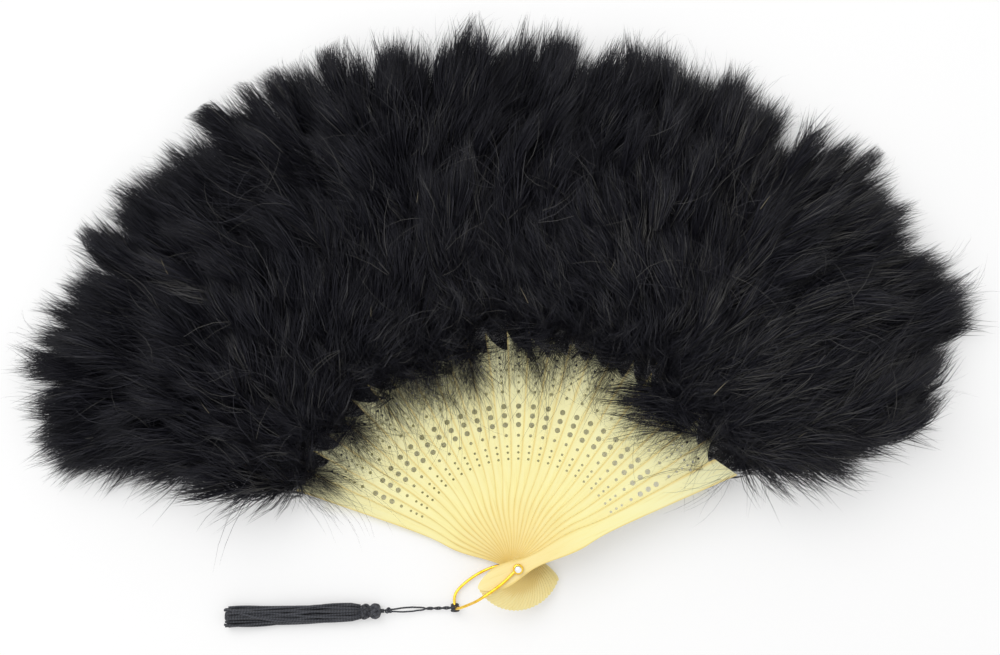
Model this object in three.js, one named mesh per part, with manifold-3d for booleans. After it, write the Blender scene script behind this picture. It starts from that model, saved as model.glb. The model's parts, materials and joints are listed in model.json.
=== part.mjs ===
// A folding feather fan, lying open and face up. Lengths are in millimetres and angles in degrees.
// The rivet stands on the origin, +Z is up, and +Y runs from the rivet along the middle of the open fan.
import * as THREE from "three";
import { mergeVertices } from "three/addons/utils/BufferGeometryUtils.js";
import Module from "manifold-3d";

const wasm = await Module();
wasm.setup();

// Layout of the fan
const INNER_STICK_COUNT = 24;
const OPEN_ANGLE = 132.6; // between the centre lines of the two guards
const SEAT_GAP = 0.3; // between pieces that touch
const RUNNING_GAP = 0.2; // between neighbouring sticks

// Sticks: a station is a distance from the rivet along the stick
const STICK_THICKNESS = 0.65;
const GUARD_THICKNESS = 1.1;
const STICK_REACH = 120; // rivet to the long corner of the tip
const TIP_DROP = 10; // how far the short corner lies below the long one
const TIP_SAG = 3; // how far the edge between the corners is hollowed
const GUARD_TIP_DROP = 7; // the guards are cut straight across
const TIP_HALF_WIDTH = 6.2;
const WAIST_STATION = 54;
const WAIST_HALF_WIDTH = 3.7;
const SHOULDER_STATION = 31;
const SHOULDER_HALF_WIDTH = 5.1;
const NECK_STATION = 9;
const NECK_HALF_WIDTH = 3.4;
const PADDLE_STATION = -10;
const PADDLE_HALF_WIDTH = 6;
const PADDLE_LENGTH = 22.5; // rivet to the round end

// Holes pierced along the middle of each inner stick: an inset is a distance back from the long corner
const SMALL_HOLE = 1.25;
const MEDIUM_HOLE = 1.6;
const LARGE_HOLE = 2.7;
const SMALL_HOLE_PITCH = 3.2;
const LARGE_HOLE_PITCH = 4.7;
const UPPER_ROW_INSET = 20;
const UPPER_MEDIUM_INSET = 31;
const LARGE_ROW_INSET = 43.2;
const LOWER_MEDIUM_INSET = 53.3;
const LOWER_ROW_INSET = 62;
const SIDE_HOLE_OFFSET = 3;

// Rivet
const PIN_DIAMETER = 2;
const PIN_CLEARANCE = 0.2; // round the pin, in every piece that turns on it
const BACK_HEAD_DIAMETER = 6;
const BACK_HEAD_THICKNESS = 0.9;
const CAP_DIAMETER = 3.6;
const CAP_HEIGHT = 1.8;
const CAP_BORE_DEPTH = 0.8;
const ROUND_SIDES = 16; // facets round the pin and the cap

// Bail: the front leg runs over the sticks, drops past their ends and returns beneath as the back leg
const BAIL_WIRE = 1.5;
const BAIL_DIRECTION = 212.4;
const BAIL_REACH = 39.2; // rivet to the bend that holds the tassel
const BAIL_FRONT_BOW = 1.5;
const BAIL_BACK_BOW = 7.5;
const BAIL_BEND_HEIGHT = 3.4;
const BAIL_STEPS = 40;
const WIRE_SIDES = 8;

// Plumes
const PLUME_ROOT_INSET = 20; // how far the down reaches back over the sticks
const PLUME_LENGTH = 147; // past the long corners of the sticks
const PLUME_HEIGHT = 40;
const PLUME_GAP = 0.5; // between neighbouring plumes
const PLUME_ROOT_DEPTH = 7; // down above and below the stick at the root
const PLUME_REACH_SWAY = 4; // how much the plumes differ in reach
const PLUME_SWAY_TURN = 2.4; // radians from one plume's sway to the next
const PLUME_OPENED_SHARE = 0.36; // share of the length at which a plume has its full depth
const PLUME_CLOSING_SHARE = 0.36; // share of the length at which it starts to thin out
const PLUME_CLOSING_POWER = 1.6; // above 1 for a rounded back
const PLUME_TIP_LOSS = 0.65; // share of the height lost at the tip
const PLUME_BULGE_POWER = 0.7;
const PLUME_TIP_HALF_WIDTH = 8;
const BACK_END_FLARE = 20; // how far the outermost plumes fall past the guards
const FRONT_END_FLARE = 13;
const QUILL_INSET = 26;
const QUILL_WIDTH = 1.2;
const QUILL_THICKNESS = 1.2;

// Linking tape under the sticks
const TAPE_INSET = 14;
const TAPE_WIDTH = 2.5;
const TAPE_THICKNESS = 0.3;

// Tassel, lying on the ground plane
const TASSEL_DIRECTION = 180;
const CORD_DIAMETER = 0.9;
const CORD_STEPS = 32;
const KNOT_STATION = 32;
const KNOT_LENGTH = 4.2;
const KNOT_DIAMETER = 3.6;
const HEAD_LENGTH = 12.4; // with its neck
const HEAD_NECK_LENGTH = 2;
const HEAD_NECK_DIAMETER = 2.4;
const HEAD_DIAMETER = 8.6;
const SKIRT_LENGTH = 71;
const SKIRT_WIDTH = 11.2;
const SKIRT_HEIGHT = 8.4;
const SKIRT_FLUTES = 12;
const SKIRT_FLUTE_DEPTH = 0.8;
const SKIRT_RAGGED = 2.5; // how far the strand ends differ

const STICK_COUNT = INNER_STICK_COUNT + 2;
const STICK_STEP = OPEN_ANGLE / (STICK_COUNT - 1);
const BACK_EYE_HEIGHT = BACK_HEAD_THICKNESS + SEAT_GAP + BAIL_WIRE / 2;
const BORE_RADIUS = PIN_DIAMETER / 2 + PIN_CLEARANCE;
const EYE_RADIUS = BORE_RADIUS + BAIL_WIRE / 2;
const SLOT_END = Math.hypot(STICK_REACH, TIP_HALF_WIDTH) + SEAT_GAP;
const TAPE_STATION = STICK_REACH - TAPE_INSET;
const QUILL_STATION = STICK_REACH - QUILL_INSET;
const PLUME_ROOT_STATION = STICK_REACH - PLUME_ROOT_INSET;
const PLUME_REACH = STICK_REACH + PLUME_LENGTH;
const HEAD_STATION = KNOT_STATION + KNOT_LENGTH + SEAT_GAP;
const SKIRT_STATION = HEAD_STATION + HEAD_LENGTH + SEAT_GAP;
const TASSEL_AXIS_HEIGHT = HEAD_DIAMETER / 2;

const { degToRad, lerp, smoothstep } = THREE.MathUtils;
const vec2 = (x, y) => new THREE.Vector2(x, y);
const vec3 = (x, y, z) => new THREE.Vector3(x, y, z);

function material(color, roughness, metalness) {
  return new THREE.MeshStandardMaterial({ color, roughness, metalness });
}

const IVORY = material(0xf4eeb8, 0.35, 0);
const DOWN = material(0x14141c, 0.9, 0);
const GOLD = material(0xf2b90c, 0.25, 1);
const SILVER = material(0xe8e8ea, 0.2, 1);
const CORD = material(0x2a2c34, 0.6, 0);

function piece(name, geometry, finish) {
  const mesh = new THREE.Mesh(geometry, finish);
  mesh.name = name;
  return mesh;
}

// A closed geometry as a solid that can be joined and cut
function solid(geometry) {
  const bare = new THREE.BufferGeometry().setAttribute("position", geometry.getAttribute("position"));
  bare.setIndex(geometry.index);
  const merged = mergeVertices(bare);
  const vertProperties = new Float32Array(merged.getAttribute("position").array);
  const triVerts = new Uint32Array(merged.index.array);
  return new wasm.Manifold(new wasm.Mesh({ numProp: 3, vertProperties, triVerts }));
}

function geometryOf(made) {
  const { vertProperties, triVerts } = made.getMesh();
  const geometry = new THREE.BufferGeometry();
  geometry.setAttribute("position", new THREE.BufferAttribute(vertProperties, 3));
  geometry.setIndex(new THREE.BufferAttribute(triVerts, 1));
  geometry.computeVertexNormals();
  return geometry;
}

function boxBetween(low, high) {
  const size = high.clone().sub(low);
  const middle = low.clone().add(high).divideScalar(2);
  return new THREE.BoxGeometry(size.x, size.y, size.z).translate(middle.x, middle.y, middle.z);
}

// A skin over rings of points, each counter-clockwise as seen looking along the loft, with both ends closed
function loft(rings) {
  const count = rings[0].length;
  const points = rings.flat();
  const indices = [];
  const quad = (a, b, c, d) => indices.push(a, c, b, b, c, d);
  for (let k = 0; k + 1 < rings.length; k++) {
    for (let j = 0; j < count; j++) {
      const next = (j + 1) % count;
      quad(k * count + j, k * count + next, (k + 1) * count + j, (k + 1) * count + next);
    }
  }
  const close = (ring, first, facesBack) => {
    const middle = ring.reduce((sum, p) => sum.add(p), vec3(0, 0, 0)).divideScalar(count);
    const centre = points.push(middle) - 1;
    for (let j = 0; j < count; j++) {
      const a = first + j;
      const b = first + ((j + 1) % count);
      indices.push(centre, facesBack ? a : b, facesBack ? b : a);
    }
  };
  close(rings[0], 0, true);
  close(rings.at(-1), (rings.length - 1) * count, false);
  const geometry = new THREE.BufferGeometry().setFromPoints(points);
  geometry.setIndex(indices);
  geometry.computeVertexNormals();
  return geometry;
}

// A solid of revolution about Z from [radius, height] points that start and end on the axis
function turned(profile, segments) {
  const points = profile.map(([radius, height]) => vec2(radius, height));
  return new THREE.LatheGeometry(points, segments).rotateX(Math.PI / 2);
}

function polygon(x, y, diameter, sides) {
  const corner = (k) => {
    const angle = (2 * Math.PI * k) / sides;
    return vec2(x + (diameter / 2) * Math.cos(angle), y + (diameter / 2) * Math.sin(angle));
  };
  return Array.from({ length: sides }, (_, k) => corner(k));
}

function tube(points, diameter, sides, steps) {
  const section = new THREE.Shape(polygon(0, 0, diameter, sides));
  const extrudePath = new THREE.CatmullRomCurve3(points);
  return new THREE.ExtrudeGeometry(section, { extrudePath, steps });
}

// Height and direction of every stick, from the back guard to the front guard
function stackedSticks() {
  let bottom = BACK_EYE_HEIGHT + BAIL_WIRE / 2 + SEAT_GAP;
  return Array.from({ length: STICK_COUNT }, (_, index) => {
    const isGuard = index === 0 || index === STICK_COUNT - 1;
    const thickness = isGuard ? GUARD_THICKNESS : STICK_THICKNESS;
    const stick = { index, isGuard, thickness, bottom, top: bottom + thickness };
    stick.turn = OPEN_ANGLE / 2 - index * STICK_STEP;
    stick.label = String(index).padStart(2, "0");
    bottom = stick.top + RUNNING_GAP;
    return stick;
  });
}

const STICKS = stackedSticks();
const BACK_GUARD = STICKS[0];
const FRONT_GUARD = STICKS.at(-1);
const FRONT_EYE_HEIGHT = FRONT_GUARD.top + SEAT_GAP + BAIL_WIRE / 2;
const PIN_TOP = FRONT_EYE_HEIGHT + BAIL_WIRE / 2 + SEAT_GAP + CAP_BORE_DEPTH;

// Outline of a stick along +Y, with its long corner on the left, or on the right of the front guard
function stickOutline(stick) {
  const edge = [
    vec2(PADDLE_HALF_WIDTH, PADDLE_STATION),
    vec2(NECK_HALF_WIDTH, NECK_STATION),
    vec2(SHOULDER_HALF_WIDTH, SHOULDER_STATION),
    vec2(WAIST_HALF_WIDTH, WAIST_STATION),
  ];
  const longCorner = vec2(-TIP_HALF_WIDTH, STICK_REACH);
  const drop = stick.isGuard ? GUARD_TIP_DROP : TIP_DROP;
  const shortCorner = vec2(TIP_HALF_WIDTH, STICK_REACH - drop);
  const left = edge.map((p) => vec2(-p.x, p.y)).reverse();
  const end = vec2(0, -PADDLE_LENGTH);
  const sides = new THREE.SplineCurve([longCorner, ...left, end, ...edge, shortCorner]);
  const hollow = vec2(0, STICK_REACH - TIP_DROP / 2 - 2 * TIP_SAG);
  const tip = new THREE.QuadraticBezierCurve(shortCorner, hollow, longCorner);
  const hollowed = stick.isGuard ? [] : tip.getPoints(3).slice(1, -1);
  const points = [...sides.getPoints(20), ...hollowed];
  return stick === FRONT_GUARD ? points.map((p) => vec2(-p.x, p.y)) : points;
}

function holeRow(inset, pitch, count, diameter, sides) {
  const station = (k) => STICK_REACH - inset + (k - (count - 1) / 2) * pitch;
  return Array.from({ length: count }, (_, k) => polygon(0, station(k), diameter, sides));
}

function piercing() {
  const sideHole = (x) => polygon(x, STICK_REACH - UPPER_ROW_INSET, SMALL_HOLE, 4);
  return [
    ...holeRow(UPPER_ROW_INSET, SMALL_HOLE_PITCH, 5, SMALL_HOLE, 4),
    ...holeRow(UPPER_MEDIUM_INSET, 0, 1, MEDIUM_HOLE, 5),
    ...holeRow(LARGE_ROW_INSET, LARGE_HOLE_PITCH, 3, LARGE_HOLE, 6),
    ...holeRow(LOWER_MEDIUM_INSET, 0, 1, MEDIUM_HOLE, 5),
    ...holeRow(LOWER_ROW_INSET, SMALL_HOLE_PITCH, 3, SMALL_HOLE, 4),
    sideHole(-SIDE_HOLE_OFFSET),
    sideHole(SIDE_HOLE_OFFSET),
  ];
}

function stickPiece(stick) {
  const shape = new THREE.Shape(stickOutline(stick));
  const holes = [polygon(0, 0, 2 * BORE_RADIUS, 8), ...(stick.isGuard ? [] : piercing())];
  shape.holes = holes.map((points) => new THREE.Path(points));
  const geometry = new THREE.ExtrudeGeometry(shape, { depth: stick.thickness, bevelEnabled: false });
  geometry.translate(0, 0, stick.bottom);
  const guardName = stick === BACK_GUARD ? "back_guard_stick" : "front_guard_stick";
  return piece(stick.isGuard ? guardName : `stick_${stick.label}`, geometry, IVORY);
}

// Section of a plume across its length: flat below and crowned above, in shares of its width and height
const PLUME_SECTION = [
  vec2(-0.8, 0),
  vec2(0.8, 0),
  vec2(1, 0.5),
  vec2(0.72, 1),
  vec2(-0.72, 1),
  vec2(-1, 0.5),
];
const PLUME_RINGS = 9;

// Room in a plume for its own stick, both neighbours and the tape below them
function slotSpan(stick) {
  const above = STICKS[Math.min(stick.index + 1, STICK_COUNT - 1)];
  const below = STICKS[Math.max(stick.index - 1, 0)];
  return { low: below.bottom - 2 * SEAT_GAP - TAPE_THICKNESS, high: above.top + SEAT_GAP };
}

function plumeRings(stick) {
  const slot = slotSpan(stick);
  const reach = PLUME_REACH + PLUME_REACH_SWAY * Math.sin(PLUME_SWAY_TURN * stick.index);
  const rootLow = Math.max(0, slot.low - PLUME_ROOT_DEPTH);
  const rootHigh = slot.high + PLUME_ROOT_DEPTH;
  const leftFlare = stick === BACK_GUARD ? BACK_END_FLARE : 0;
  const rightFlare = stick === FRONT_GUARD ? FRONT_END_FLARE : 0;
  return Array.from({ length: PLUME_RINGS }, (_, k) => {
    const share = k / (PLUME_RINGS - 1);
    const station = lerp(PLUME_ROOT_STATION, reach, share);
    const opened = smoothstep(share, 0, PLUME_OPENED_SHARE);
    const passed = Math.max(0, (share - PLUME_CLOSING_SHARE) / (1 - PLUME_CLOSING_SHARE));
    const closed = passed ** PLUME_CLOSING_POWER;
    const crown = PLUME_HEIGHT * (1 - PLUME_TIP_LOSS * closed);
    const low = rootLow * (1 - opened);
    const high = lerp(rootHigh, crown, opened);
    const sector = station * Math.tan(degToRad(STICK_STEP / 2)) - PLUME_GAP / 2;
    const half = lerp(sector, PLUME_TIP_HALF_WIDTH, closed ** 2);
    const bulge = Math.sin(Math.PI * share) ** PLUME_BULGE_POWER;
    const across = (x) => x * (half + (x < 0 ? leftFlare : rightFlare) * bulge);
    return PLUME_SECTION.map((p) => vec3(across(p.x), station, lerp(low, high, p.y)));
  });
}

function plumePiece(stick) {
  const slot = slotSpan(stick);
  const side = PLUME_REACH / 2;
  const room = boxBetween(vec3(-side, 0, slot.low), vec3(side, SLOT_END, slot.high));
  const seat = stick.top + SEAT_GAP;
  const quillLow = vec3(-QUILL_WIDTH / 2, QUILL_STATION, seat);
  const quillHigh = vec3(QUILL_WIDTH / 2, SLOT_END + QUILL_WIDTH, seat + QUILL_THICKNESS);
  const down = solid(loft(plumeRings(stick))).subtract(solid(room));
  const made = down.add(solid(boxBetween(quillLow, quillHigh)));
  return piece(`plume_${stick.label}`, geometryOf(made), DOWN);
}

function bladeGroup(stick) {
  const group = new THREE.Group();
  group.rotation.z = degToRad(stick.turn);
  return group.add(stickPiece(stick), plumePiece(stick));
}

function rivetPin() {
  const head = BACK_HEAD_DIAMETER / 2;
  const shank = PIN_DIAMETER / 2;
  const backHead = [[0, 0], [head, 0], [head, BACK_HEAD_THICKNESS], [shank, BACK_HEAD_THICKNESS]];
  return piece("rivet_pin", turned([...backHead, [shank, PIN_TOP], [0, PIN_TOP]], ROUND_SIDES), SILVER);
}

function rivetCap() {
  const seat = PIN_TOP - CAP_BORE_DEPTH;
  const rim = CAP_DIAMETER / 2;
  const roof = PIN_TOP + PIN_CLEARANCE;
  const bore = [[0, roof], [BORE_RADIUS, roof], [BORE_RADIUS, seat], [rim, seat]];
  const crown = (size, share) => [rim * size, seat + CAP_HEIGHT * share];
  const dome = [crown(1, 0.5), crown(0.7, 0.88), crown(0, 1)];
  return piece("rivet_cap", turned([...bore, ...dome], ROUND_SIDES), SILVER);
}

function bailEye(height) {
  const ring = polygon(EYE_RADIUS, height, BAIL_WIRE, WIRE_SIDES);
  return turned([...ring, ring[0]].map((p) => [p.x, p.y]), 12);
}

function bail() {
  const dropStation = PADDLE_LENGTH + BAIL_WIRE;
  const lead = (BAIL_REACH - dropStation) / 2;
  const frontLeg = [
    vec3(EYE_RADIUS, 0, FRONT_EYE_HEIGHT),
    vec3(PADDLE_LENGTH / 2, BAIL_FRONT_BOW, FRONT_EYE_HEIGHT),
    vec3(dropStation, BAIL_FRONT_BOW, FRONT_EYE_HEIGHT),
    vec3(dropStation + lead, BAIL_FRONT_BOW, FRONT_EYE_HEIGHT * 0.62),
    vec3(BAIL_REACH - BAIL_WIRE, BAIL_FRONT_BOW / 2, FRONT_EYE_HEIGHT * 0.32),
  ];
  const backLeg = [
    vec3(BAIL_REACH * 0.9, -BAIL_BACK_BOW * 0.72, BACK_EYE_HEIGHT),
    vec3(BAIL_REACH * 0.64, -BAIL_BACK_BOW, BACK_EYE_HEIGHT),
    vec3(BAIL_REACH * 0.34, -BAIL_BACK_BOW * 0.85, BACK_EYE_HEIGHT),
    vec3(EYE_RADIUS / 2, -EYE_RADIUS * 0.86, BACK_EYE_HEIGHT),
  ];
  const route = [...frontLeg, vec3(BAIL_REACH, 0, BAIL_BEND_HEIGHT), ...backLeg];
  const wire = tube(route, BAIL_WIRE, WIRE_SIDES, BAIL_STEPS);
  const made = solid(wire).add(solid(bailEye(FRONT_EYE_HEIGHT))).add(solid(bailEye(BACK_EYE_HEIGHT)));
  const mesh = piece("bail", geometryOf(made), GOLD);
  mesh.rotation.z = degToRad(BAIL_DIRECTION);
  return mesh;
}

// The tape runs under each stick and steps up to the next one past its right edge
function linkingTape() {
  const stickHalfAngle = Math.asin((TIP_HALF_WIDTH + SEAT_GAP) / TAPE_STATION);
  const stepAngle = degToRad(STICK_STEP);
  const rise = stepAngle / 10;
  const ring = (angle, bottom) => {
    const corner = (radius, z) => vec3(-radius * Math.sin(angle), radius * Math.cos(angle), z);
    const inner = TAPE_STATION - TAPE_WIDTH / 2;
    const outer = TAPE_STATION + TAPE_WIDTH / 2;
    const top = bottom + TAPE_THICKNESS;
    return [corner(outer, bottom), corner(inner, bottom), corner(inner, top), corner(outer, top)];
  };
  const rings = STICKS.flatMap((stick) => {
    const level = stick.bottom - SEAT_GAP - TAPE_THICKNESS;
    const middle = degToRad(stick.turn);
    const start = stick === BACK_GUARD ? middle : middle + stepAngle - stickHalfAngle - rise;
    const end = stick === FRONT_GUARD ? middle : middle - stickHalfAngle;
    return [ring(start, level), ring(end, level)];
  });
  return piece("linking_tape", loft(rings), CORD);
}

// Tassel pieces run along +X from the bend of the bail
function along(geometry, station) {
  return geometry.rotateY(Math.PI / 2).translate(station, 0, TASSEL_AXIS_HEIGHT);
}

function tasselCord() {
  const side = CORD_DIAMETER * 0.8;
  const end = KNOT_STATION - SEAT_GAP;
  const route = [
    vec3(end, -side, TASSEL_AXIS_HEIGHT),
    vec3(21, -1.3, 4.2),
    vec3(9, -1.5, 4.3),
    vec3(1, -1.8, 4.4),
    vec3(-2.1, 0, BAIL_BEND_HEIGHT),
    vec3(1, 1.8, 2.4),
    vec3(9, 1.5, 2.4),
    vec3(21, 1.3, 3.2),
    vec3(end, side, TASSEL_AXIS_HEIGHT),
  ];
  return piece("tassel_cord", tube(route, CORD_DIAMETER, WIRE_SIDES, CORD_STEPS), CORD);
}

function tasselKnot() {
  const ball = new THREE.SphereGeometry(0.5, 10, 6);
  const bead = ball.scale(KNOT_DIAMETER, KNOT_LENGTH, KNOT_DIAMETER).rotateX(Math.PI / 2);
  return piece("tassel_knot", along(bead, KNOT_STATION + KNOT_LENGTH / 2), CORD);
}

function tasselHead() {
  const neck = HEAD_NECK_DIAMETER / 2;
  const full = HEAD_DIAMETER / 2;
  const bulb = HEAD_LENGTH - HEAD_NECK_LENGTH;
  const swell = (share, size) => [full * size, HEAD_NECK_LENGTH + bulb * share];
  const top = [[0, 0], [neck, 0], [neck, HEAD_NECK_LENGTH]];
  const bead = [swell(0.12, 0.8), swell(0.32, 1), swell(0.52, 0.95)];
  const foot = [swell(0.64, 0.74), swell(0.8, 0.82), swell(1, 0.7), [0, HEAD_LENGTH]];
  return piece("tassel_head", along(turned([...top, ...bead, ...foot], 14), HEAD_STATION), CORD);
}

function tasselSkirt() {
  const widths = [0.62, 0.82, 0.95, 1, 0.98];
  const stations = [0, 0.06, 0.3, 0.7, 1].map((share) => share * SKIRT_LENGTH);
  const points = 2 * SKIRT_FLUTES;
  const rings = stations.map((station, k) =>
    Array.from({ length: points }, (_, j) => {
      const angle = (2 * Math.PI * j) / points;
      const inset = j % 2 ? SKIRT_FLUTE_DEPTH : 0;
      const isEnd = k === stations.length - 1;
      const x = SKIRT_STATION + station - (isEnd && j % 2 ? SKIRT_RAGGED : 0);
      const y = -Math.cos(angle) * widths[k] * (SKIRT_WIDTH / 2 - inset);
      const z = Math.sin(angle) * widths[k] * (SKIRT_HEIGHT / 2 - inset);
      return vec3(x, y, TASSEL_AXIS_HEIGHT + z);
    }),
  );
  return piece("tassel_skirt", loft(rings), CORD);
}

function tassel() {
  const group = new THREE.Group();
  const direction = degToRad(BAIL_DIRECTION);
  group.position.set(BAIL_REACH * Math.cos(direction), BAIL_REACH * Math.sin(direction), 0);
  group.rotation.z = degToRad(TASSEL_DIRECTION);
  return group.add(tasselCord(), tasselKnot(), tasselHead(), tasselSkirt());
}

const fan = new THREE.Group();
fan.add(...STICKS.map(bladeGroup), linkingTape(), rivetPin(), rivetCap(), bail(), tassel());

export default fan;
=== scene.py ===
"""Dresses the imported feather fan: pierced sticks, marabou plumes, rivet, wire bail and tassel.

Every piece is built in metres in the row frame, with its place in its mesh, and rides on a body of the frame.
"""
from __future__ import annotations

import json
import logging
import math
from dataclasses import dataclass, field
from enum import Enum

import bpy
import numpy as np
from mathutils import Matrix, Vector

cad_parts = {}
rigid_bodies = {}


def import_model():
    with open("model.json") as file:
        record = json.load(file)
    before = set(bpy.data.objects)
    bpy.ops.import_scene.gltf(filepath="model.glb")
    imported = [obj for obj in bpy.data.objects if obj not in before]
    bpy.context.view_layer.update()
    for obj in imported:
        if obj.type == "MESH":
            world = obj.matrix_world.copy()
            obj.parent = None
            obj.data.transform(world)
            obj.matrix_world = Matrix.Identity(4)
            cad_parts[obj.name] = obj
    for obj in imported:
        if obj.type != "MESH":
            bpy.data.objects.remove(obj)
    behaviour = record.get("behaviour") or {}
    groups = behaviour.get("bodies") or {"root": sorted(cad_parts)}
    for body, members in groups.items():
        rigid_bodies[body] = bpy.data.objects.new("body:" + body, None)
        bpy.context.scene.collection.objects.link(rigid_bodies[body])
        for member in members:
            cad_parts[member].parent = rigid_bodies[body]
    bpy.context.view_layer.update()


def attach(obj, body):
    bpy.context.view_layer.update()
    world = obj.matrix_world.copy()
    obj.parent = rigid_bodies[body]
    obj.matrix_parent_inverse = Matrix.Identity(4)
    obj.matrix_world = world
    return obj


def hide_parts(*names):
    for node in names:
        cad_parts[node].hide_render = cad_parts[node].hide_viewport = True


LOG = logging.getLogger("feather_fan")
MM = 0.001
Colour = tuple[float, float, float]
Span = tuple[float, float]
Numbers = np.ndarray | float
Stops = tuple[tuple[float, Colour], ...]
Batch = tuple[np.ndarray, ...]  # roots, flows, bends, sizes, variants and tones of some locks of down
Socket = bpy.types.NodeSocket
Piece = bpy.types.Object
Material = bpy.types.Material
Random = np.random.Generator


def rgba(colour: Colour) -> tuple[float, float, float, float]:
    """The colour with full opacity."""
    return (*colour, 1.0)


WHITE, BLACK = rgba((1, 1, 1)), rgba((0, 0, 0))


def smoothstep(value: Numbers, low: float, high: float) -> Numbers:
    """Eases from 0 at low to 1 at high."""
    share = np.clip((np.asarray(value, dtype=float) - low) / (high - low), 0.0, 1.0)
    return share * share * (3.0 - 2.0 * share)


class NodeBoard:
    """Adds nodes to one node tree and wires them up."""

    def __init__(self, tree: bpy.types.NodeTree) -> None:
        """Keeps the tree that the nodes go on."""
        self.tree = tree

    def add(self, kind: str, wires: dict | None = None, **settings: object) -> bpy.types.Node:
        """Adds a node, sets its properties and fills its inputs.

        Args:
            kind: Blender's identifier for the type of node.
            wires: Input name or index, to the socket to link or the value to set there.
            settings: Properties of the node itself.

        Returns:
            The new node.
        """
        node = self.tree.nodes.new(kind)
        for key, value in settings.items():
            setattr(node, key, value)
        for key, value in (wires or {}).items():
            self.fill(node.inputs[key], value)
        return node

    def fill(self, socket: Socket, value: object) -> None:
        """Links a socket to an input, or sets the input's value."""
        if isinstance(value, Socket):
            self.tree.links.new(value, socket)
        else:
            socket.default_value = value

    def out(self, kind: str, wires: dict | None = None, **settings: object) -> Socket:
        """The first output of a new node, which takes what add takes."""
        return self.add(kind, wires, **settings).outputs[0]

    def math(self, operation: str, *values: object, clamp: bool = False) -> Socket:
        """A Math node's result for sockets or numbers."""
        wires = dict(enumerate(values))
        return self.out("ShaderNodeMath", wires, operation=operation, use_clamp=clamp)

    def parts(self, vector: Socket) -> list[Socket]:
        """The three numbers of a vector socket."""
        return list(self.add("ShaderNodeSeparateXYZ", {0: vector}).outputs)

    def vector(self, x: object, y: object, z: object = 0.0) -> Socket:
        """A vector socket of three sockets or numbers."""
        return self.out("ShaderNodeCombineXYZ", {0: x, 1: y, 2: z})

    def seen(self) -> Socket:
        """1 for what is seen, straight or mirrored or through glass, and 0 for light on its way."""
        path = self.add("ShaderNodeLightPath").outputs
        seen = self.math("ADD", path["Is Camera Ray"], path["Is Glossy Ray"])
        return self.math("ADD", seen, path["Is Transmission Ray"], clamp=True)


class FinishBoard(NodeBoard):
    """The nodes of one new material, with its Principled shader at hand."""

    def __init__(self, name: str) -> None:
        """Makes the material that the nodes colour."""
        self.material = bpy.data.materials.new(name)
        self.material.use_nodes = True
        super().__init__(self.material.node_tree)
        self.shader = self.tree.nodes["Principled BSDF"]

    def shade(self, **inputs: object) -> Material:
        """Fills the shader's inputs.

        Args:
            inputs: Input name with _ for a space, to the socket to link or the value to set there.

        Returns:
            The finished material.
        """
        for key, value in inputs.items():
            self.fill(self.shader.inputs[key.replace("_", " ")], value)
        return self.material

    def attribute(self, name: str, output: str = "Vector") -> Socket:
        """An attribute of the piece's own mesh."""
        return self.add("ShaderNodeAttribute", attribute_name=name).outputs[output]

    def place(self) -> Socket:
        """The point on the piece in Object coordinates."""
        return self.add("ShaderNodeTexCoord").outputs["Object"]

    def noise(self, vector: Socket, scale: float, detail: float) -> Socket:
        """Soft noise from 0 to 1."""
        return self.out("ShaderNodeTexNoise", {"Vector": vector, "Scale": scale, "Detail": detail})

    def span(self, value: object, span: Span, to: Span) -> Socket:
        """Maps a number from one span to another, clamped."""
        wires = {0: value, 1: span[0], 2: span[1], 3: to[0], 4: to[1]}
        return self.out("ShaderNodeMapRange", wires, interpolation_type="SMOOTHSTEP")

    def ramp(self, factor: object, stops: Stops) -> Socket:
        """A colour that runs through the stops as the factor goes from 0 to 1."""
        node = self.add("ShaderNodeValToRGB", {0: factor})
        elements = node.color_ramp.elements
        while len(elements) < len(stops):
            elements.new(0.5)
        for element, (position, colour) in zip(elements, stops):
            element.position = position
            element.color = rgba(colour)
        return node.outputs[0]

    def mix(self, factor: object, first: object, second: object) -> Socket:
        """Two colours mixed by a factor."""
        wires = {0: factor, 6: first, 7: second}
        return self.add("ShaderNodeMix", wires, data_type="RGBA").outputs[2]

    def bump(self, height: Socket, strength: float, distance: float) -> Socket:
        """A surface normal that follows a height."""
        wires = {"Strength": strength, "Distance": distance, "Height": height}
        return self.out("ShaderNodeBump", wires)


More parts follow.
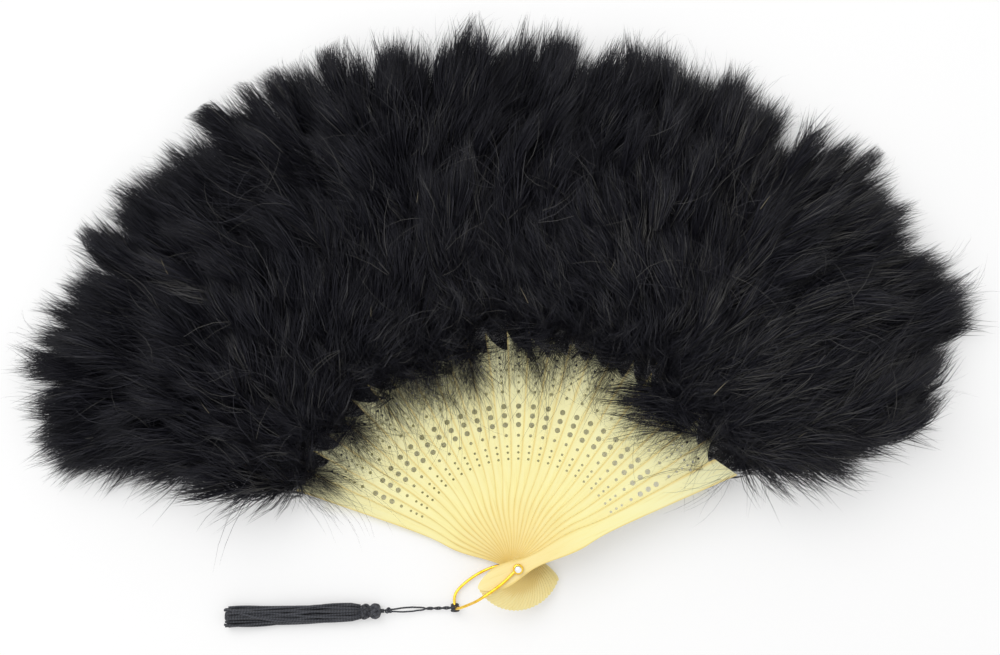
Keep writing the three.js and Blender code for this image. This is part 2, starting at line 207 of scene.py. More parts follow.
@dataclass(frozen=True)
class IvoryFinish:
    """Moulded pearly plastic: paler and greyer towards the tip with painted shade of the down, deeper round
    the rivet with painted glow of light through the stacked sticks, and golden at the edges with painted glow
    and shade where the sticks overlap.
    """

    name: str = "pearly_ivory"
    # Painted light and shade along the stick: deeper orange round the rivet for light glowing through the
    # stacked plastic, greyer at the tip for the shade of the down.
    along: Stops = (
        (0.0, (0.97, 0.83, 0.37)),
        (0.15, (0.96, 0.76, 0.30)),
        (0.28, (0.95, 0.79, 0.32)),
        (0.42, (0.95, 0.87, 0.38)),
        (0.64, (0.93, 0.88, 0.43)),
        (1.0, (0.85, 0.84, 0.52)),
    )
    clouds: tuple[tuple[Span, Span, Colour], ...] = (
        ((0.3, 0.75), (0.0, 0.22), (0.93, 0.90, 0.62)),
        ((0.26, 0.52), (0.34, 0.0), (0.88, 0.73, 0.29)),
    )
    aged: Colour = (0.86, 0.72, 0.30)
    aged_share: float = 0.12
    # Colour of the painted edge: glow of light through the plastic and shadow of the overlapping stick.
    edge: Colour = (0.80, 0.58, 0.15)
    heel_station: float = -22.5
    tip_station: float = 120.0
    widest: float = 7.0
    half_widths: tuple[Span, ...] = (
        (-22.5, 1.0), (-19.0, 4.4), (-10.0, 6.0), (0.0, 4.5), (9.0, 3.4), (20.0, 4.3),
        (31.0, 5.1), (43.0, 4.3), (54.0, 3.7), (80.0, 4.6), (120.0, 6.2),
    )

    def build(self) -> Material:
        """Makes the material from the sticks' own places along and across."""
        board = FinishBoard(self.name)
        across, along, tone = board.parts(board.attribute("stick_place"))
        length = self.tip_station - self.heel_station
        share = board.math("DIVIDE", board.math("SUBTRACT", along, self.heel_station), length)
        colour = board.ramp(share, self.along)
        width = board.add("ShaderNodeFloatCurve", {"Value": share})
        self._draw_widths(width.mapping, length)
        half = board.math("MULTIPLY", width.outputs[0], self.widest)
        # Painted edge glow and shade: the golden colour rises towards the stick's edges.
        painted_edge_glow = board.math("DIVIDE", board.math("ABSOLUTE", across), half)
        painted_edge_glow = board.span(painted_edge_glow, (0.72, 1.0), (0.0, 0.7))
        grain = board.vector(
            board.math("MULTIPLY", across, 0.55),
            board.math("MULTIPLY", along, 0.035),
            board.math("MULTIPLY", tone, 40.0),
        )
        streak = board.noise(grain, 1.6, 4.0)
        for span, share, tint in self.clouds:
            colour = board.mix(board.span(streak, span, share), colour, rgba(tint))
        colour = board.mix(board.span(tone, (0.0, 1.0), (0.0, self.aged_share)), colour, rgba(self.aged))
        colour = board.mix(painted_edge_glow, colour, rgba(self.edge))
        pearl = board.noise(board.place(), 900.0, 2.0)
        return board.shade(
            Base_Color=colour,
            Roughness=board.span(streak, (0.25, 0.8), (0.26, 0.42)),
            Normal=board.bump(pearl, 0.06, 0.0002),
            Specular_IOR_Level=0.45,
            Coat_Weight=0.2,
            Coat_Roughness=0.12,
        )

    def _draw_widths(self, mapping: bpy.types.CurveMapping, length: float) -> None:
        """Draws the stick's half width against its length on a curve from 0 to 1."""
        points = mapping.curves[0].points
        while len(points) < len(self.half_widths):
            points.new(0.5, 0.5)
        for point, (station, half) in zip(points, self.half_widths):
            point.location = ((station - self.heel_station) / length, half / self.widest)
        mapping.update()


@dataclass(frozen=True)
class DownFinish:
    """Dyed black down: each barb has one tone, which turns towards one bluish grey towards its end, painted
    light on the fine ends that leaves the roots darker as in shade.
    """

    name: str = "black_down"
    tones: Stops = (
        (0.0, (0.0045, 0.0045, 0.0082)),
        (0.35, (0.0088, 0.0088, 0.0148)),
        (0.60, (0.0260, 0.0260, 0.0350)),
        (0.80, (0.0700, 0.0690, 0.0720)),
        (0.91, (0.0950, 0.0920, 0.0840)),
        (1.0, (0.2100, 0.1800, 0.1150)),
    )
    painted_tip_grey: Colour = (0.024, 0.024, 0.029)

    def build(self) -> Material:
        """Makes the material from the tone and the place along each barb, which are its UV map."""
        board = FinishBoard(self.name)
        uv = board.out("ShaderNodeUVMap", uv_map="OFBake")
        tone, along, _ = board.parts(uv)
        colour = board.ramp(tone, self.tones)
        # Painted light and shade along each barb: its end is mixed towards the bluish grey, its root keeps
        # the deeper tone.
        colour = board.mix(board.span(along, (0.35, 1.0), (0.0, 0.4)), colour, rgba(self.painted_tip_grey))
        return board.shade(
            Base_Color=colour,
            Roughness=board.span(along, (0.0, 1.0), (0.55, 0.42)),
            Specular_IOR_Level=0.22,
        )


@dataclass(frozen=True)
class MetalFinish:
    """Plated wire or a polished head: bright metal with faint drawing marks and rubbed spots."""

    name: str
    bright: Colour
    deep: Colour
    roughness: Span

    def build(self) -> Material:
        """Makes the material from fine and coarse noise on the piece."""
        board = FinishBoard(self.name)
        cloud = board.noise(board.place(), 260.0, 4.0)
        marks = board.noise(board.place(), 2600.0, 2.0)
        colour = board.mix(board.span(cloud, (0.35, 0.7), (0.0, 1.0)), rgba(self.bright), rgba(self.deep))
        return board.shade(
            Base_Color=colour,
            Metallic=1.0,
            Roughness=board.span(marks, (0.3, 0.75), self.roughness),
            Normal=board.bump(marks, 0.05, 0.0001),
        )


@dataclass(frozen=True)
class SatinFinish:
    """Twisted satin cord: the plies wind round each strand and catch the light in slanting bands, with
    painted shade in the grooves between them.
    """

    name: str = "charcoal_satin"
    painted_groove_shade: Colour = (0.005, 0.0055, 0.008)
    ply: Colour = (0.031, 0.034, 0.044)
    faded: Colour = (0.060, 0.063, 0.078)
    twist_pitch: float = 1.5 * MM

    def build(self) -> Material:
        """Makes the material from the turn and length that the swept strands carry."""
        board = FinishBoard(self.name)
        cosine, sine, along = board.parts(board.attribute("strand_turn"))
        tone = board.attribute("tone", "Fac")
        phase = board.math("MULTIPLY", along, 2.0 * math.pi / self.twist_pitch)
        wave = board.math(
            "ADD",
            board.math("MULTIPLY", sine, board.math("COSINE", phase)),
            board.math("MULTIPLY", cosine, board.math("SINE", phase)),
        )
        ridge = board.span(wave, (-1.0, 0.6), (0.0, 1.0))
        # Painted shade: the grooves between the plies are coloured darker than the ridges.
        colour = board.mix(ridge, rgba(self.painted_groove_shade), rgba(self.ply))
        colour = board.mix(board.span(tone, (0.0, 1.0), (0.0, 0.55)), colour, rgba(self.faded))
        return board.shade(
            Base_Color=colour,
            Roughness=board.span(wave, (-1.0, 1.0), (0.62, 0.40)),
            Normal=board.bump(ridge, 0.35, 0.0002),
            Specular_IOR_Level=0.4,
            Sheen_Weight=0.15,
        )


@dataclass(frozen=True)
class RibbonFinish:
    """Narrow woven ribbon in charcoal, ribbed across its length, with painted shade in the gaps of the weave.
    """

    name: str = "charcoal_ribbon"
    thread: Colour = (0.040, 0.042, 0.050)
    gap: Colour = (0.008, 0.008, 0.011)

    def build(self) -> Material:
        """Makes the material from a fine weave on the piece."""
        board = FinishBoard(self.name)
        weave = board.noise(board.place(), 3200.0, 1.0)
        # Painted shade: where the weave's noise is low the colour darkens to the gap colour, as between
        # threads in shade.
        colour = board.mix(board.span(weave, (0.35, 0.65), (0.0, 1.0)), rgba(self.gap), rgba(self.thread))
        return board.shade(Base_Color=colour, Roughness=0.7, Normal=board.bump(weave, 0.3, 0.0002))


@dataclass(frozen=True)
class FloorFinish:
    """Matt white paper, whose shadow is lifted where nothing covers it."""

    name: str = "white_paper"
    paper: Colour = (0.965, 0.965, 0.965)
    fibre: Colour = (0.955, 0.955, 0.955)
    glow: float = 0.5
    stick_glow: float = 0.16
    stick_light: Colour = (1.0, 0.92, 0.30)
    stick_span: Span = (0.098, 0.106)
    cover_reach: float = 0.06
    cover_samples: int = 2
    cover_span: Span = (0.30, 0.65)
    side_span: Span = (math.radians(68), math.radians(74))

    def build(self) -> Material:
        """Makes the material with a fibre too faint to see from afar."""
        board = FinishBoard(self.name)
        place = board.place()
        fibre = board.noise(place, 400.0, 2.0)
        colour = board.mix(fibre, rgba(self.paper), rgba(self.fibre))
        strength, light = self._glow(board, place)
        glow = board.math("MULTIPLY", board.seen(), strength)
        lit = board.mix(glow, colour, BLACK)
        return board.shade(
            Base_Color=lit,
            Roughness=0.9,
            Specular_IOR_Level=0.0,
            Emission_Color=light,
            Emission_Strength=glow,
        )

    def _glow(self, board: FinishBoard, place: Socket) -> tuple[Socket, ...]:
        """How much the paper's shadows are lifted, and to what colour.

        They are lifted most in the open, a little and warmly under the open sticks, and not under the down.
        """
        x, y, _ = board.parts(place)
        far = board.add("ShaderNodeVectorMath", {0: place}, operation="LENGTH").outputs["Value"]
        turn = board.math("ABSOLUTE", board.math("ARCTAN2", x, y))
        wires = {"Distance": self.cover_reach}
        cover = board.add("ShaderNodeAmbientOcclusion", wires, samples=self.cover_samples)
        clear = board.span(cover.outputs["AO"], self.cover_span, (0.0, 1.0))
        past = board.span(far, self.stick_span, (0.0, 1.0))
        beside = board.span(turn, self.side_span, (0.0, 1.0))
        white = board.math("MAXIMUM", board.math("MAXIMUM", past, beside), clear)
        under = board.math("MULTIPLY", board.math("SUBTRACT", 1.0, past), self.stick_glow)
        light = board.mix(white, rgba(self.stick_light), WHITE)
        return board.math("MAXIMUM", board.math("MULTIPLY", clear, self.glow), under), light


class NodeTree(NodeBoard):
    """A Geometry Nodes tree with named inputs, which ends in Realize Instances and Set Material."""

    def __init__(self, name: str, inputs: dict[str, str]) -> None:
        """Makes the tree.

        Args:
            name: Name of the tree.
            inputs: Name of each input to its kind, such as Float.
        """
        super().__init__(bpy.data.node_groups.new(name, "GeometryNodeTree"))
        self.identifiers: dict[str, str] = {}
        for label, kind in inputs.items():
            socket = self.tree.interface.new_socket(label, in_out="INPUT", socket_type="NodeSocket" + kind)
            self.identifiers[label] = socket.identifier
        self.tree.interface.new_socket("Geometry", in_out="OUTPUT", socket_type="NodeSocketGeometry")
        self.given = self.add("NodeGroupInput").outputs
        self.result = self.add("NodeGroupOutput")

    def named(self, name: str, kind: str = "FLOAT") -> Socket:
        """A named attribute of the geometry."""
        node = self.add("GeometryNodeInputNamedAttribute", {"Name": name}, data_type=kind)
        return node.outputs["Attribute"]

    def store(
        self, geometry: Socket, name: str, value: object, kind: str, domain: str = "POINT"
    ) -> Socket:
        """Stores a value on the geometry under a name.

        Args:
            geometry: What carries the value.
            name: The attribute's name.
            value: Socket or number to store.
            kind: Blender's data type.
            domain: Where on the geometry it is kept.

        Returns:
            The geometry with the attribute.
        """
        wires = {"Geometry": geometry, "Name": name, "Value": value}
        return self.out("GeometryNodeStoreNamedAttribute", wires, data_type=kind, domain=domain)

    def split(self, flag: str) -> tuple[Socket, Socket]:
        """The given points that carry a flag, and the rest of the given geometry."""
        wires = {"Geometry": self.given["Geometry"], "Selection": self.named(flag, "BOOLEAN")}
        node = self.add("GeometryNodeSeparateGeometry", wires, domain="POINT")
        return node.outputs["Selection"], node.outputs["Inverted"]

    def join(self, *parts: Socket) -> Socket:
        """Several geometries as one."""
        node = self.add("GeometryNodeJoinGeometry")
        for part in parts:
            self.tree.links.new(part, node.inputs[0])
        return node.outputs[0]

    def end(self, geometry: Socket) -> None:
        """Realizes the geometry, gives it the material input and sends it out."""
        real = self.out("GeometryNodeRealizeInstances", {"Geometry": geometry})
        wires = {"Geometry": real, "Material": self.given["Finish"]}
        dressed = self.out("GeometryNodeSetMaterial", wires)
        self.tree.links.new(dressed, self.result.inputs[0])

    def attach(self, piece: Piece, **values: object) -> None:
        """Puts the tree on a piece, with its inputs set by their identifiers.

        Args:
            piece: Object that carries the modifier.
            values: Input name with _ for a space, to its value.
        """
        modifier = piece.modifiers.new(self.tree.name, "NODES")
        modifier.node_group = self.tree
        for label, value in values.items():
            modifier[self.identifiers[label.replace("_", " ")]] = value


class Workshop:
    """Turns arrays into objects, and objects with modifiers into plain meshes on their bodies."""

    @staticmethod
    def raw(
        name: str, points: np.ndarray, edges: np.ndarray | None = None, faces: list | None = None,
        **values: np.ndarray,
    ) -> Piece:
        """Makes an object from points in metres.

        Args:
            name: Name of the piece.
            points: One row for each vertex.
            edges: Pairs of vertices.
            faces: Rings of vertices.
            values: Named attributes, one row for each vertex.

        Returns:
            The object, linked to the scene.
        """
        mesh = bpy.data.meshes.new(name)
        pairs = [] if edges is None else np.asarray(edges).tolist()
        mesh.from_pydata(np.asarray(points, dtype=float).tolist(), pairs, faces or [])
        for key, value in values.items():
            Workshop.note(mesh, key, value)
        mesh.update()
        piece = bpy.data.objects.new(name, mesh)
        bpy.context.scene.collection.objects.link(piece)
        return piece

    @staticmethod
    def note(mesh: bpy.types.Mesh, name: str, value: np.ndarray) -> None:
        """Keeps an attribute on the mesh's vertices."""
        value = np.asarray(value)
        if value.dtype == bool:
            kind, key = "BOOLEAN", "value"
        elif value.dtype.kind == "i":
            kind, key = "INT", "value"
        else:
            kind, key = ("FLOAT", "value") if value.ndim == 1 else ("FLOAT_VECTOR", "vector")
        mesh.attributes.new(name, kind, "POINT").data.foreach_set(key, value.ravel())

    @staticmethod
    def settle(piece: Piece, keep: tuple[str, ...] = ()) -> Piece:
        """Turns a piece's modifiers into its mesh.

        Args:
            piece: Object with modifiers.
            keep: Names of the vertex attributes that its material reads.

        Returns:
            The same object with a plain mesh.
        """
        graph = bpy.context.evaluated_depsgraph_get()
        mesh = bpy.data.meshes.new_from_object(
            piece.evaluated_get(graph), preserve_all_data_layers=True, depsgraph=graph
        )
        old = piece.data
        piece.modifiers.clear()
        piece.data = mesh
        bpy.data.meshes.remove(old)
        mesh.name = piece.name
        own = {"position", "sharp_face", "material_index", *keep}
        for name in [a.name for a in mesh.attributes if a.name not in own and not a.name.startswith(".")]:
            if name not in mesh.uv_layers:
                mesh.attributes.remove(mesh.attributes[name])
        return piece

    @staticmethod
    def mount(piece: Piece, body: str, slot: str, *nodes: str) -> Piece:
        """Rides a piece on a body in place of its CAD nodes.

        Args:
            piece: The finished piece.
            body: Name of the body.
            slot: The record's material slot; not used.
            nodes: CAD nodes that the piece stands for.

        Returns:
            The piece.
        """
        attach(piece, body)
        if nodes:
            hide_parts(*nodes)
        LOG.info("%s rides on %s: %d faces", piece.name, body, len(piece.data.polygons))
        return piece


def upright_turn(angle: float) -> np.ndarray:
    """The matrix that turns rows of points about the upright."""
    c, s = math.cos(angle), math.sin(angle)
    return np.array([[c, s, 0.0], [-s, c, 0.0], [0.0, 0.0, 1.0]])


def skin(rings: int, size: int) -> list[tuple[int, ...]]:
    """Faces of a closed solid over rings of points.

    Args:
        rings: How many rings there are, one after the other.
        size: Points in a ring.

    Returns:
        The walls, the first end and the last end.
    """
    walls = [
        (k * size + (j + 1) % size, k * size + j, (k + 1) * size + j, (k + 1) * size + (j + 1) % size)
        for k in range(rings - 1)
        for j in range(size)
    ]
    return [*walls, tuple(range(size)), tuple(reversed(range((rings - 1) * size, rings * size)))]


def through(points: np.ndarray, count: int) -> np.ndarray:
    """A smooth route through points, as a centripetal Catmull-Rom curve.

    Args:
        points: The points to pass, one row each.
        count: How many points the route gets.

    Returns:
        The route's points, close together.
    """
    points = np.asarray(points, dtype=float)
    ends = np.vstack([2 * points[0] - points[1], points, 2 * points[-1] - points[-2]])
    route = []
    for share in np.linspace(0.0, len(points) - 1.0, count):
        k = min(int(share), len(points) - 2)
        p = ends[k : k + 4]
        steps = np.maximum(np.sqrt(np.linalg.norm(np.diff(p, axis=0), axis=1)), 1e-9)
        a, b, c = steps
        first = ((p[1] - p[0]) / a - (p[2] - p[0]) / (a + b) + (p[2] - p[1]) / b) * b
        last = ((p[2] - p[1]) / b - (p[3] - p[1]) / (b + c) + (p[3] - p[2]) / c) * b
        t = share - k
        basis = (2 * t**3 - 3 * t**2 + 1, t**3 - 2 * t**2 + t, -2 * t**3 + 3 * t**2, t**3 - t**2)
        route.append(basis[0] * p[1] + basis[1] * first + basis[2] * p[2] + basis[3] * last)
    return np.array(route)


@dataclass
class Strands:
    """Round strands swept along routes by one Geometry Nodes tree."""

    sides: int = 8
    tree: NodeTree = field(init=False)

    def __post_init__(self) -> None:
        """Builds the tree that sweeps every strand."""
        inputs = {"Geometry": "Geometry", "Radius": "Float", "Sides": "Int", "Finish": "Material"}
        tree = NodeTree("swept_strands", inputs)
        curve = tree.out("GeometryNodeMeshToCurve", {"Mesh": tree.given["Geometry"]})
        wires = {"Resolution": tree.given["Sides"], "Radius": tree.given["Radius"]}
        ring = tree.out("GeometryNodeCurvePrimitiveCircle", wires, mode="RADIUS")
        capture = tree.add("GeometryNodeCaptureAttribute", {0: ring})
        capture.capture_items.new("FLOAT", "Turn")
        turn = tree.add("GeometryNodeSplineParameter").outputs["Factor"]
        tree.tree.links.new(turn, capture.inputs[1])
        wires = {
            "Curve": curve, "Profile Curve": capture.outputs[0], "Scale": tree.named("girth"),
            "Fill Caps": True,
        }
        sweep = tree.out("GeometryNodeCurveToMesh", wires)
        angle = tree.math("MULTIPLY", capture.outputs[1], 2.0 * math.pi)
        place = tree.vector(tree.math("COSINE", angle), tree.math("SINE", angle), tree.named("along"))
        mesh = tree.store(sweep, "strand_turn", place, "FLOAT_VECTOR")
        mesh = tree.out("GeometryNodeSetShadeSmooth", {"Geometry": mesh})
        tree.end(mesh)
        self.tree = tree

    def sweep(
        self, name: str, routes: list[np.ndarray], radius: float, finish: Material, closed: int = 0,
        tones: np.ndarray | None = None, girths: list[np.ndarray] | None = None, sides: int | None = None,
    ) -> Piece:
        """Makes one piece of strands.

        Args:
            name: Name of the piece.
            routes: Points of each strand, in metres.
            radius: Radius of a strand of girth 1.
            finish: Material of the strands.
            closed: How many of the last routes join up into rings.
            tones: One tone for each strand.
            girths: Share of the radius at each point of each route.
            sides: Facets round a strand.

        Returns:
            The piece as a plain mesh.
        """
        points, edges, along, tone, girth = [], [], [], [], []
        start = 0
        for k, route in enumerate(routes):
            count = len(route)
            chain = np.stack([np.arange(count - 1), np.arange(1, count)], axis=1) + start
            edges.append(chain)
            if k >= len(routes) - closed:
                edges.append(np.array([[start + count - 1, start]]))
            points.append(route)
            along.append(np.concatenate([[0.0], np.cumsum(np.linalg.norm(np.diff(route, axis=0), axis=1))]))
            tone.append(np.full(count, 0.0 if tones is None else tones[k]))
            girth.append(np.ones(count) if girths is None else girths[k])
            start += count
        piece = Workshop.raw(
            name, np.vstack(points), np.vstack(edges), along=np.concatenate(along), tone=np.concatenate(tone),
            girth=np.concatenate(girth),
        )
        self.tree.attach(piece, Radius=radius, Sides=sides or self.sides, Finish=finish)
        return Workshop.settle(piece, ("strand_turn", "tone"))


class StickKind(Enum):
    """The three shapes of stick."""

    BACK_GUARD = "back_guard"
    INNER = "inner"
    FRONT_GUARD = "front_guard"


@dataclass(frozen=True)
class Blade:
    """Where one stick and its plume sit in the fan. Lengths are in millimetres."""

    index: int
    kind: StickKind
    body: str
    stick_node: str
    plume_node: str
    turn: float
    bottom: float
    top: float

    def to_row(self, points: np.ndarray) -> np.ndarray:
        """Points beside the stick, in millimetres, as points of the row frame in metres."""
        return np.asarray(points, dtype=float) @ upright_turn(self.turn) * MM

    def aim(self, directions: np.ndarray) -> np.ndarray:
        """Directions beside the stick as directions of the row frame."""
        return self.to_row(directions) / MM


@dataclass
class Layout:
    """Angles and heights of the stack of sticks. Lengths are in millimetres."""

    count: int = 26
    open_angle: float = math.radians(132.6)
    guard_thickness: float = 1.1
    stick_thickness: float = 0.65
    running_gap: float = 0.2
    lowest: float = 3.0

    def blades(self) -> list[Blade]:
        """Every blade from the back guard to the front guard."""
        found, bottom = [], self.lowest
        for i in range(self.count):
            kind = {0: StickKind.BACK_GUARD, self.count - 1: StickKind.FRONT_GUARD}.get(i, StickKind.INNER)
            thickness = self.stick_thickness if kind is StickKind.INNER else self.guard_thickness
            inner = kind is StickKind.INNER
            body = f"blade_{i:02d}" if inner else kind.value
            node = f"stick_{i:02d}" if inner else f"{kind.value}_stick"
            turn = self.open_angle * (0.5 - i / (self.count - 1))
            found.append(Blade(i, kind, body, node, f"plume_{i:02d}", turn, bottom, bottom + thickness))
            bottom += thickness + self.running_gap
        return found


@dataclass
class Sticks:
    """The pierced sticks and the two plain guards. Lengths are in millimetres."""

    finish: Material
    reach: float = 120.0
    tip_drop: float = 10.0
    tip_sag: float = 3.0
    guard_tip_drop: float = 7.0
    tip_half_width: float = 6.2
    side: tuple[Span, ...] = ((6.0, -10.0), (3.4, 9.0), (5.1, 31.0), (3.7, 54.0))
    paddle_length: float = 22.5
    bore_radius: float = 1.2
    side_hole_offset: float = 3.0
    rows: tuple[tuple[float, float, int, float], ...] = (
        (100.0, 3.2, 5, 1.25), (89.0, 0.0, 1, 1.6), (76.8, 4.7, 3, 2.7), (66.7, 0.0, 1, 1.6),
        (58.0, 3.2, 3, 1.25),
    )
    hole_sides: int = 18
    outline_steps: int = 110
    tip_steps: int = 10
    edge_round: float = 0.1
    edge_steps: int = 2
    edge_angle: float = math.radians(50)
    seed: int = 41
    tree: NodeTree = field(init=False)

    def __post_init__(self) -> None:
        """Builds the tree that pierces and thickens a stick."""
        inputs = {
            "Geometry": "Geometry", "Hole sides": "Int", "Bottom": "Float", "Thickness": "Float",
            "Turn": "Float", "Tone": "Float", "Finish": "Material",
        }
        tree = NodeTree("pierced_stick", inputs)
        spots, rest = tree.split("hole")
        outline = tree.out("GeometryNodeMeshToCurve", {"Mesh": rest})
        wires = {"Resolution": tree.given["Hole sides"], "Radius": 1.0}
        circle = tree.out("GeometryNodeCurvePrimitiveCircle", wires, mode="RADIUS")
        radius = tree.named("hole_radius")
        wires = {"Points": spots, "Instance": circle, "Scale": tree.vector(radius, radius, 1.0)}
        holes = tree.out("GeometryNodeInstanceOnPoints", wires)
        holes = tree.out("GeometryNodeRealizeInstances", {"Geometry": holes})
        plate = tree.out("GeometryNodeFillCurve", {"Curve": tree.join(outline, holes)})
        x, y, _ = tree.parts(tree.out("GeometryNodeInputPosition"))
        place = tree.vector(tree.math("DIVIDE", x, MM), tree.math("DIVIDE", y, MM), tree.given["Tone"])
        plate = tree.store(plate, "stick_place", place, "FLOAT_VECTOR")
        rise = tree.vector(0.0, 0.0, tree.given["Thickness"])
        wires = {"Mesh": plate, "Offset": rise, "Offset Scale": 1.0, "Individual": False}
        walls = tree.out("GeometryNodeExtrudeMesh", wires, mode="FACES")
        under = tree.out("GeometryNodeFlipFaces", {"Mesh": plate})
        wires = {"Geometry": tree.join(walls, under), "Distance": 1e-6}
        closed = tree.out("GeometryNodeMergeByDistance", wires)
        wires = {
            "Geometry": closed,
            "Translation": tree.vector(0.0, 0.0, tree.given["Bottom"]),
            "Rotation": tree.vector(0.0, 0.0, tree.given["Turn"]),
        }
        tree.end(tree.out("GeometryNodeTransform", wires))
        self.tree = tree

    def build(self, blades: list[Blade]) -> list[Piece]:
        """Makes and mounts every stick.

        Args:
            blades: Where the sticks sit.

        Returns:
            The sticks, from the back guard to the front guard.
        """
        rng = np.random.default_rng(self.seed)
        return [self._stick(blade, float(rng.uniform())) for blade in blades]

    def _stick(self, blade: Blade, tone: float) -> Piece:
        """One stick on its body."""
        outline = self._outline(blade.kind)
        holes = self._holes(blade.kind is StickKind.INNER)
        count, total = len(outline), len(outline) + len(holes)
        points = np.zeros((total, 3))
        points[:count, :2] = outline
        points[count:, :2] = holes[:, :2]
        ring = np.stack([np.arange(count), np.roll(np.arange(count), -1)], axis=1)
        radius = np.concatenate([np.zeros(count), holes[:, 2] * MM])
        piece = Workshop.raw(
            blade.stick_node + "_dressed", points * MM, ring,
            hole=np.arange(total) >= count, hole_radius=radius,
        )
        self.tree.attach(
            piece, Hole_sides=self.hole_sides, Bottom=blade.bottom * MM,
            Thickness=(blade.top - blade.bottom) * MM, Turn=blade.turn, Tone=tone, Finish=self.finish,
        )
        bevel = piece.modifiers.new("rounded_edges", "BEVEL")
        bevel.width = self.edge_round * MM
        bevel.segments = self.edge_steps
        bevel.limit_method = "ANGLE"
        bevel.angle_limit = self.edge_angle
        bevel.harden_normals = True
        Workshop.settle(piece, ("stick_place", "custom_normal"))
        slot = "stick" if blade.kind is StickKind.INNER else "guard"
        return Workshop.mount(piece, blade.body, slot, blade.stick_node)

    def _outline(self, kind: StickKind) -> np.ndarray:
        """Edge of a stick, counter-clockwise. Its long corner is left, or right on the front guard."""
        drop = self.tip_drop if kind is StickKind.INNER else self.guard_tip_drop
        sag = self.tip_sag if kind is StickKind.INNER else 0.0
        right = [np.array(p) for p in self.side]
        left = [p * (-1.0, 1.0) for p in reversed(right)]
        long_corner = np.array((-self.tip_half_width, self.reach))
        short_corner = np.array((self.tip_half_width, self.reach - drop))
        knots = [long_corner, *left, np.array((0.0, -self.paddle_length)), *right, short_corner]
        sides = self._spline(np.array(knots), self.outline_steps)
        hollow = np.array((0.0, self.reach - drop / 2 - 2 * sag))
        t = np.linspace(0.0, 1.0, self.tip_steps)[1:-1, None]
        tip = short_corner * (1 - t) ** 2 + hollow * 2 * t * (1 - t) + long_corner * t**2
        points = np.vstack([sides, tip])
        return points[::-1] * (-1.0, 1.0) if kind is StickKind.FRONT_GUARD else points

    @staticmethod
    def _spline(knots: np.ndarray, steps: int) -> np.ndarray:
        """A uniform Catmull-Rom curve through the knots, as the CAD draws it."""
        padded = np.vstack([knots[0], knots, knots[-1]])
        found = []
        for share in np.linspace(0.0, len(knots) - 1.0, steps):
            k = min(int(share), len(knots) - 2)
            t = share - k
            a, b, c, d = padded[k : k + 4]
            first, last = (c - a) / 2, (d - b) / 2
            cubic, square = 2 * b - 2 * c + first + last, -3 * b + 3 * c - 2 * first - last
            found.append(cubic * t**3 + square * t**2 + first * t + b)
        return np.array(found)

    def _holes(self, pierced: bool) -> np.ndarray:
        """Centre and radius of each hole, the bore for the rivet first."""
        holes = [(0.0, 0.0, self.bore_radius)]
        for station, pitch, count, diameter in self.rows if pierced else ():
            holes += [(0.0, station + (k - (count - 1) / 2) * pitch, diameter / 2) for k in range(count)]
        if pierced:
            station, _, _, diameter = self.rows[0]
            holes += [(x, station, diameter / 2) for x in (-self.side_hole_offset, self.side_hole_offset)]
        return np.array(holes)


class LockKind(Enum):
    """How the barbs of a lock of down stand together."""

    TUFT = "tuft"
    SPRAY = "spray"
    FRINGE = "fringe"
    STRAY = "stray"
    STUB = "stub"
    WISP = "wisp"


@dataclass(frozen=True)
class LockShape:
    """Barbs of one kind of lock, in shares of the lock's length."""

    kind: LockKind
    variants: int
    barbs: int
    segments: int
    root_spread: float
    lean: float
    gather: float
    curl: float
    shortest: float
    girth: float


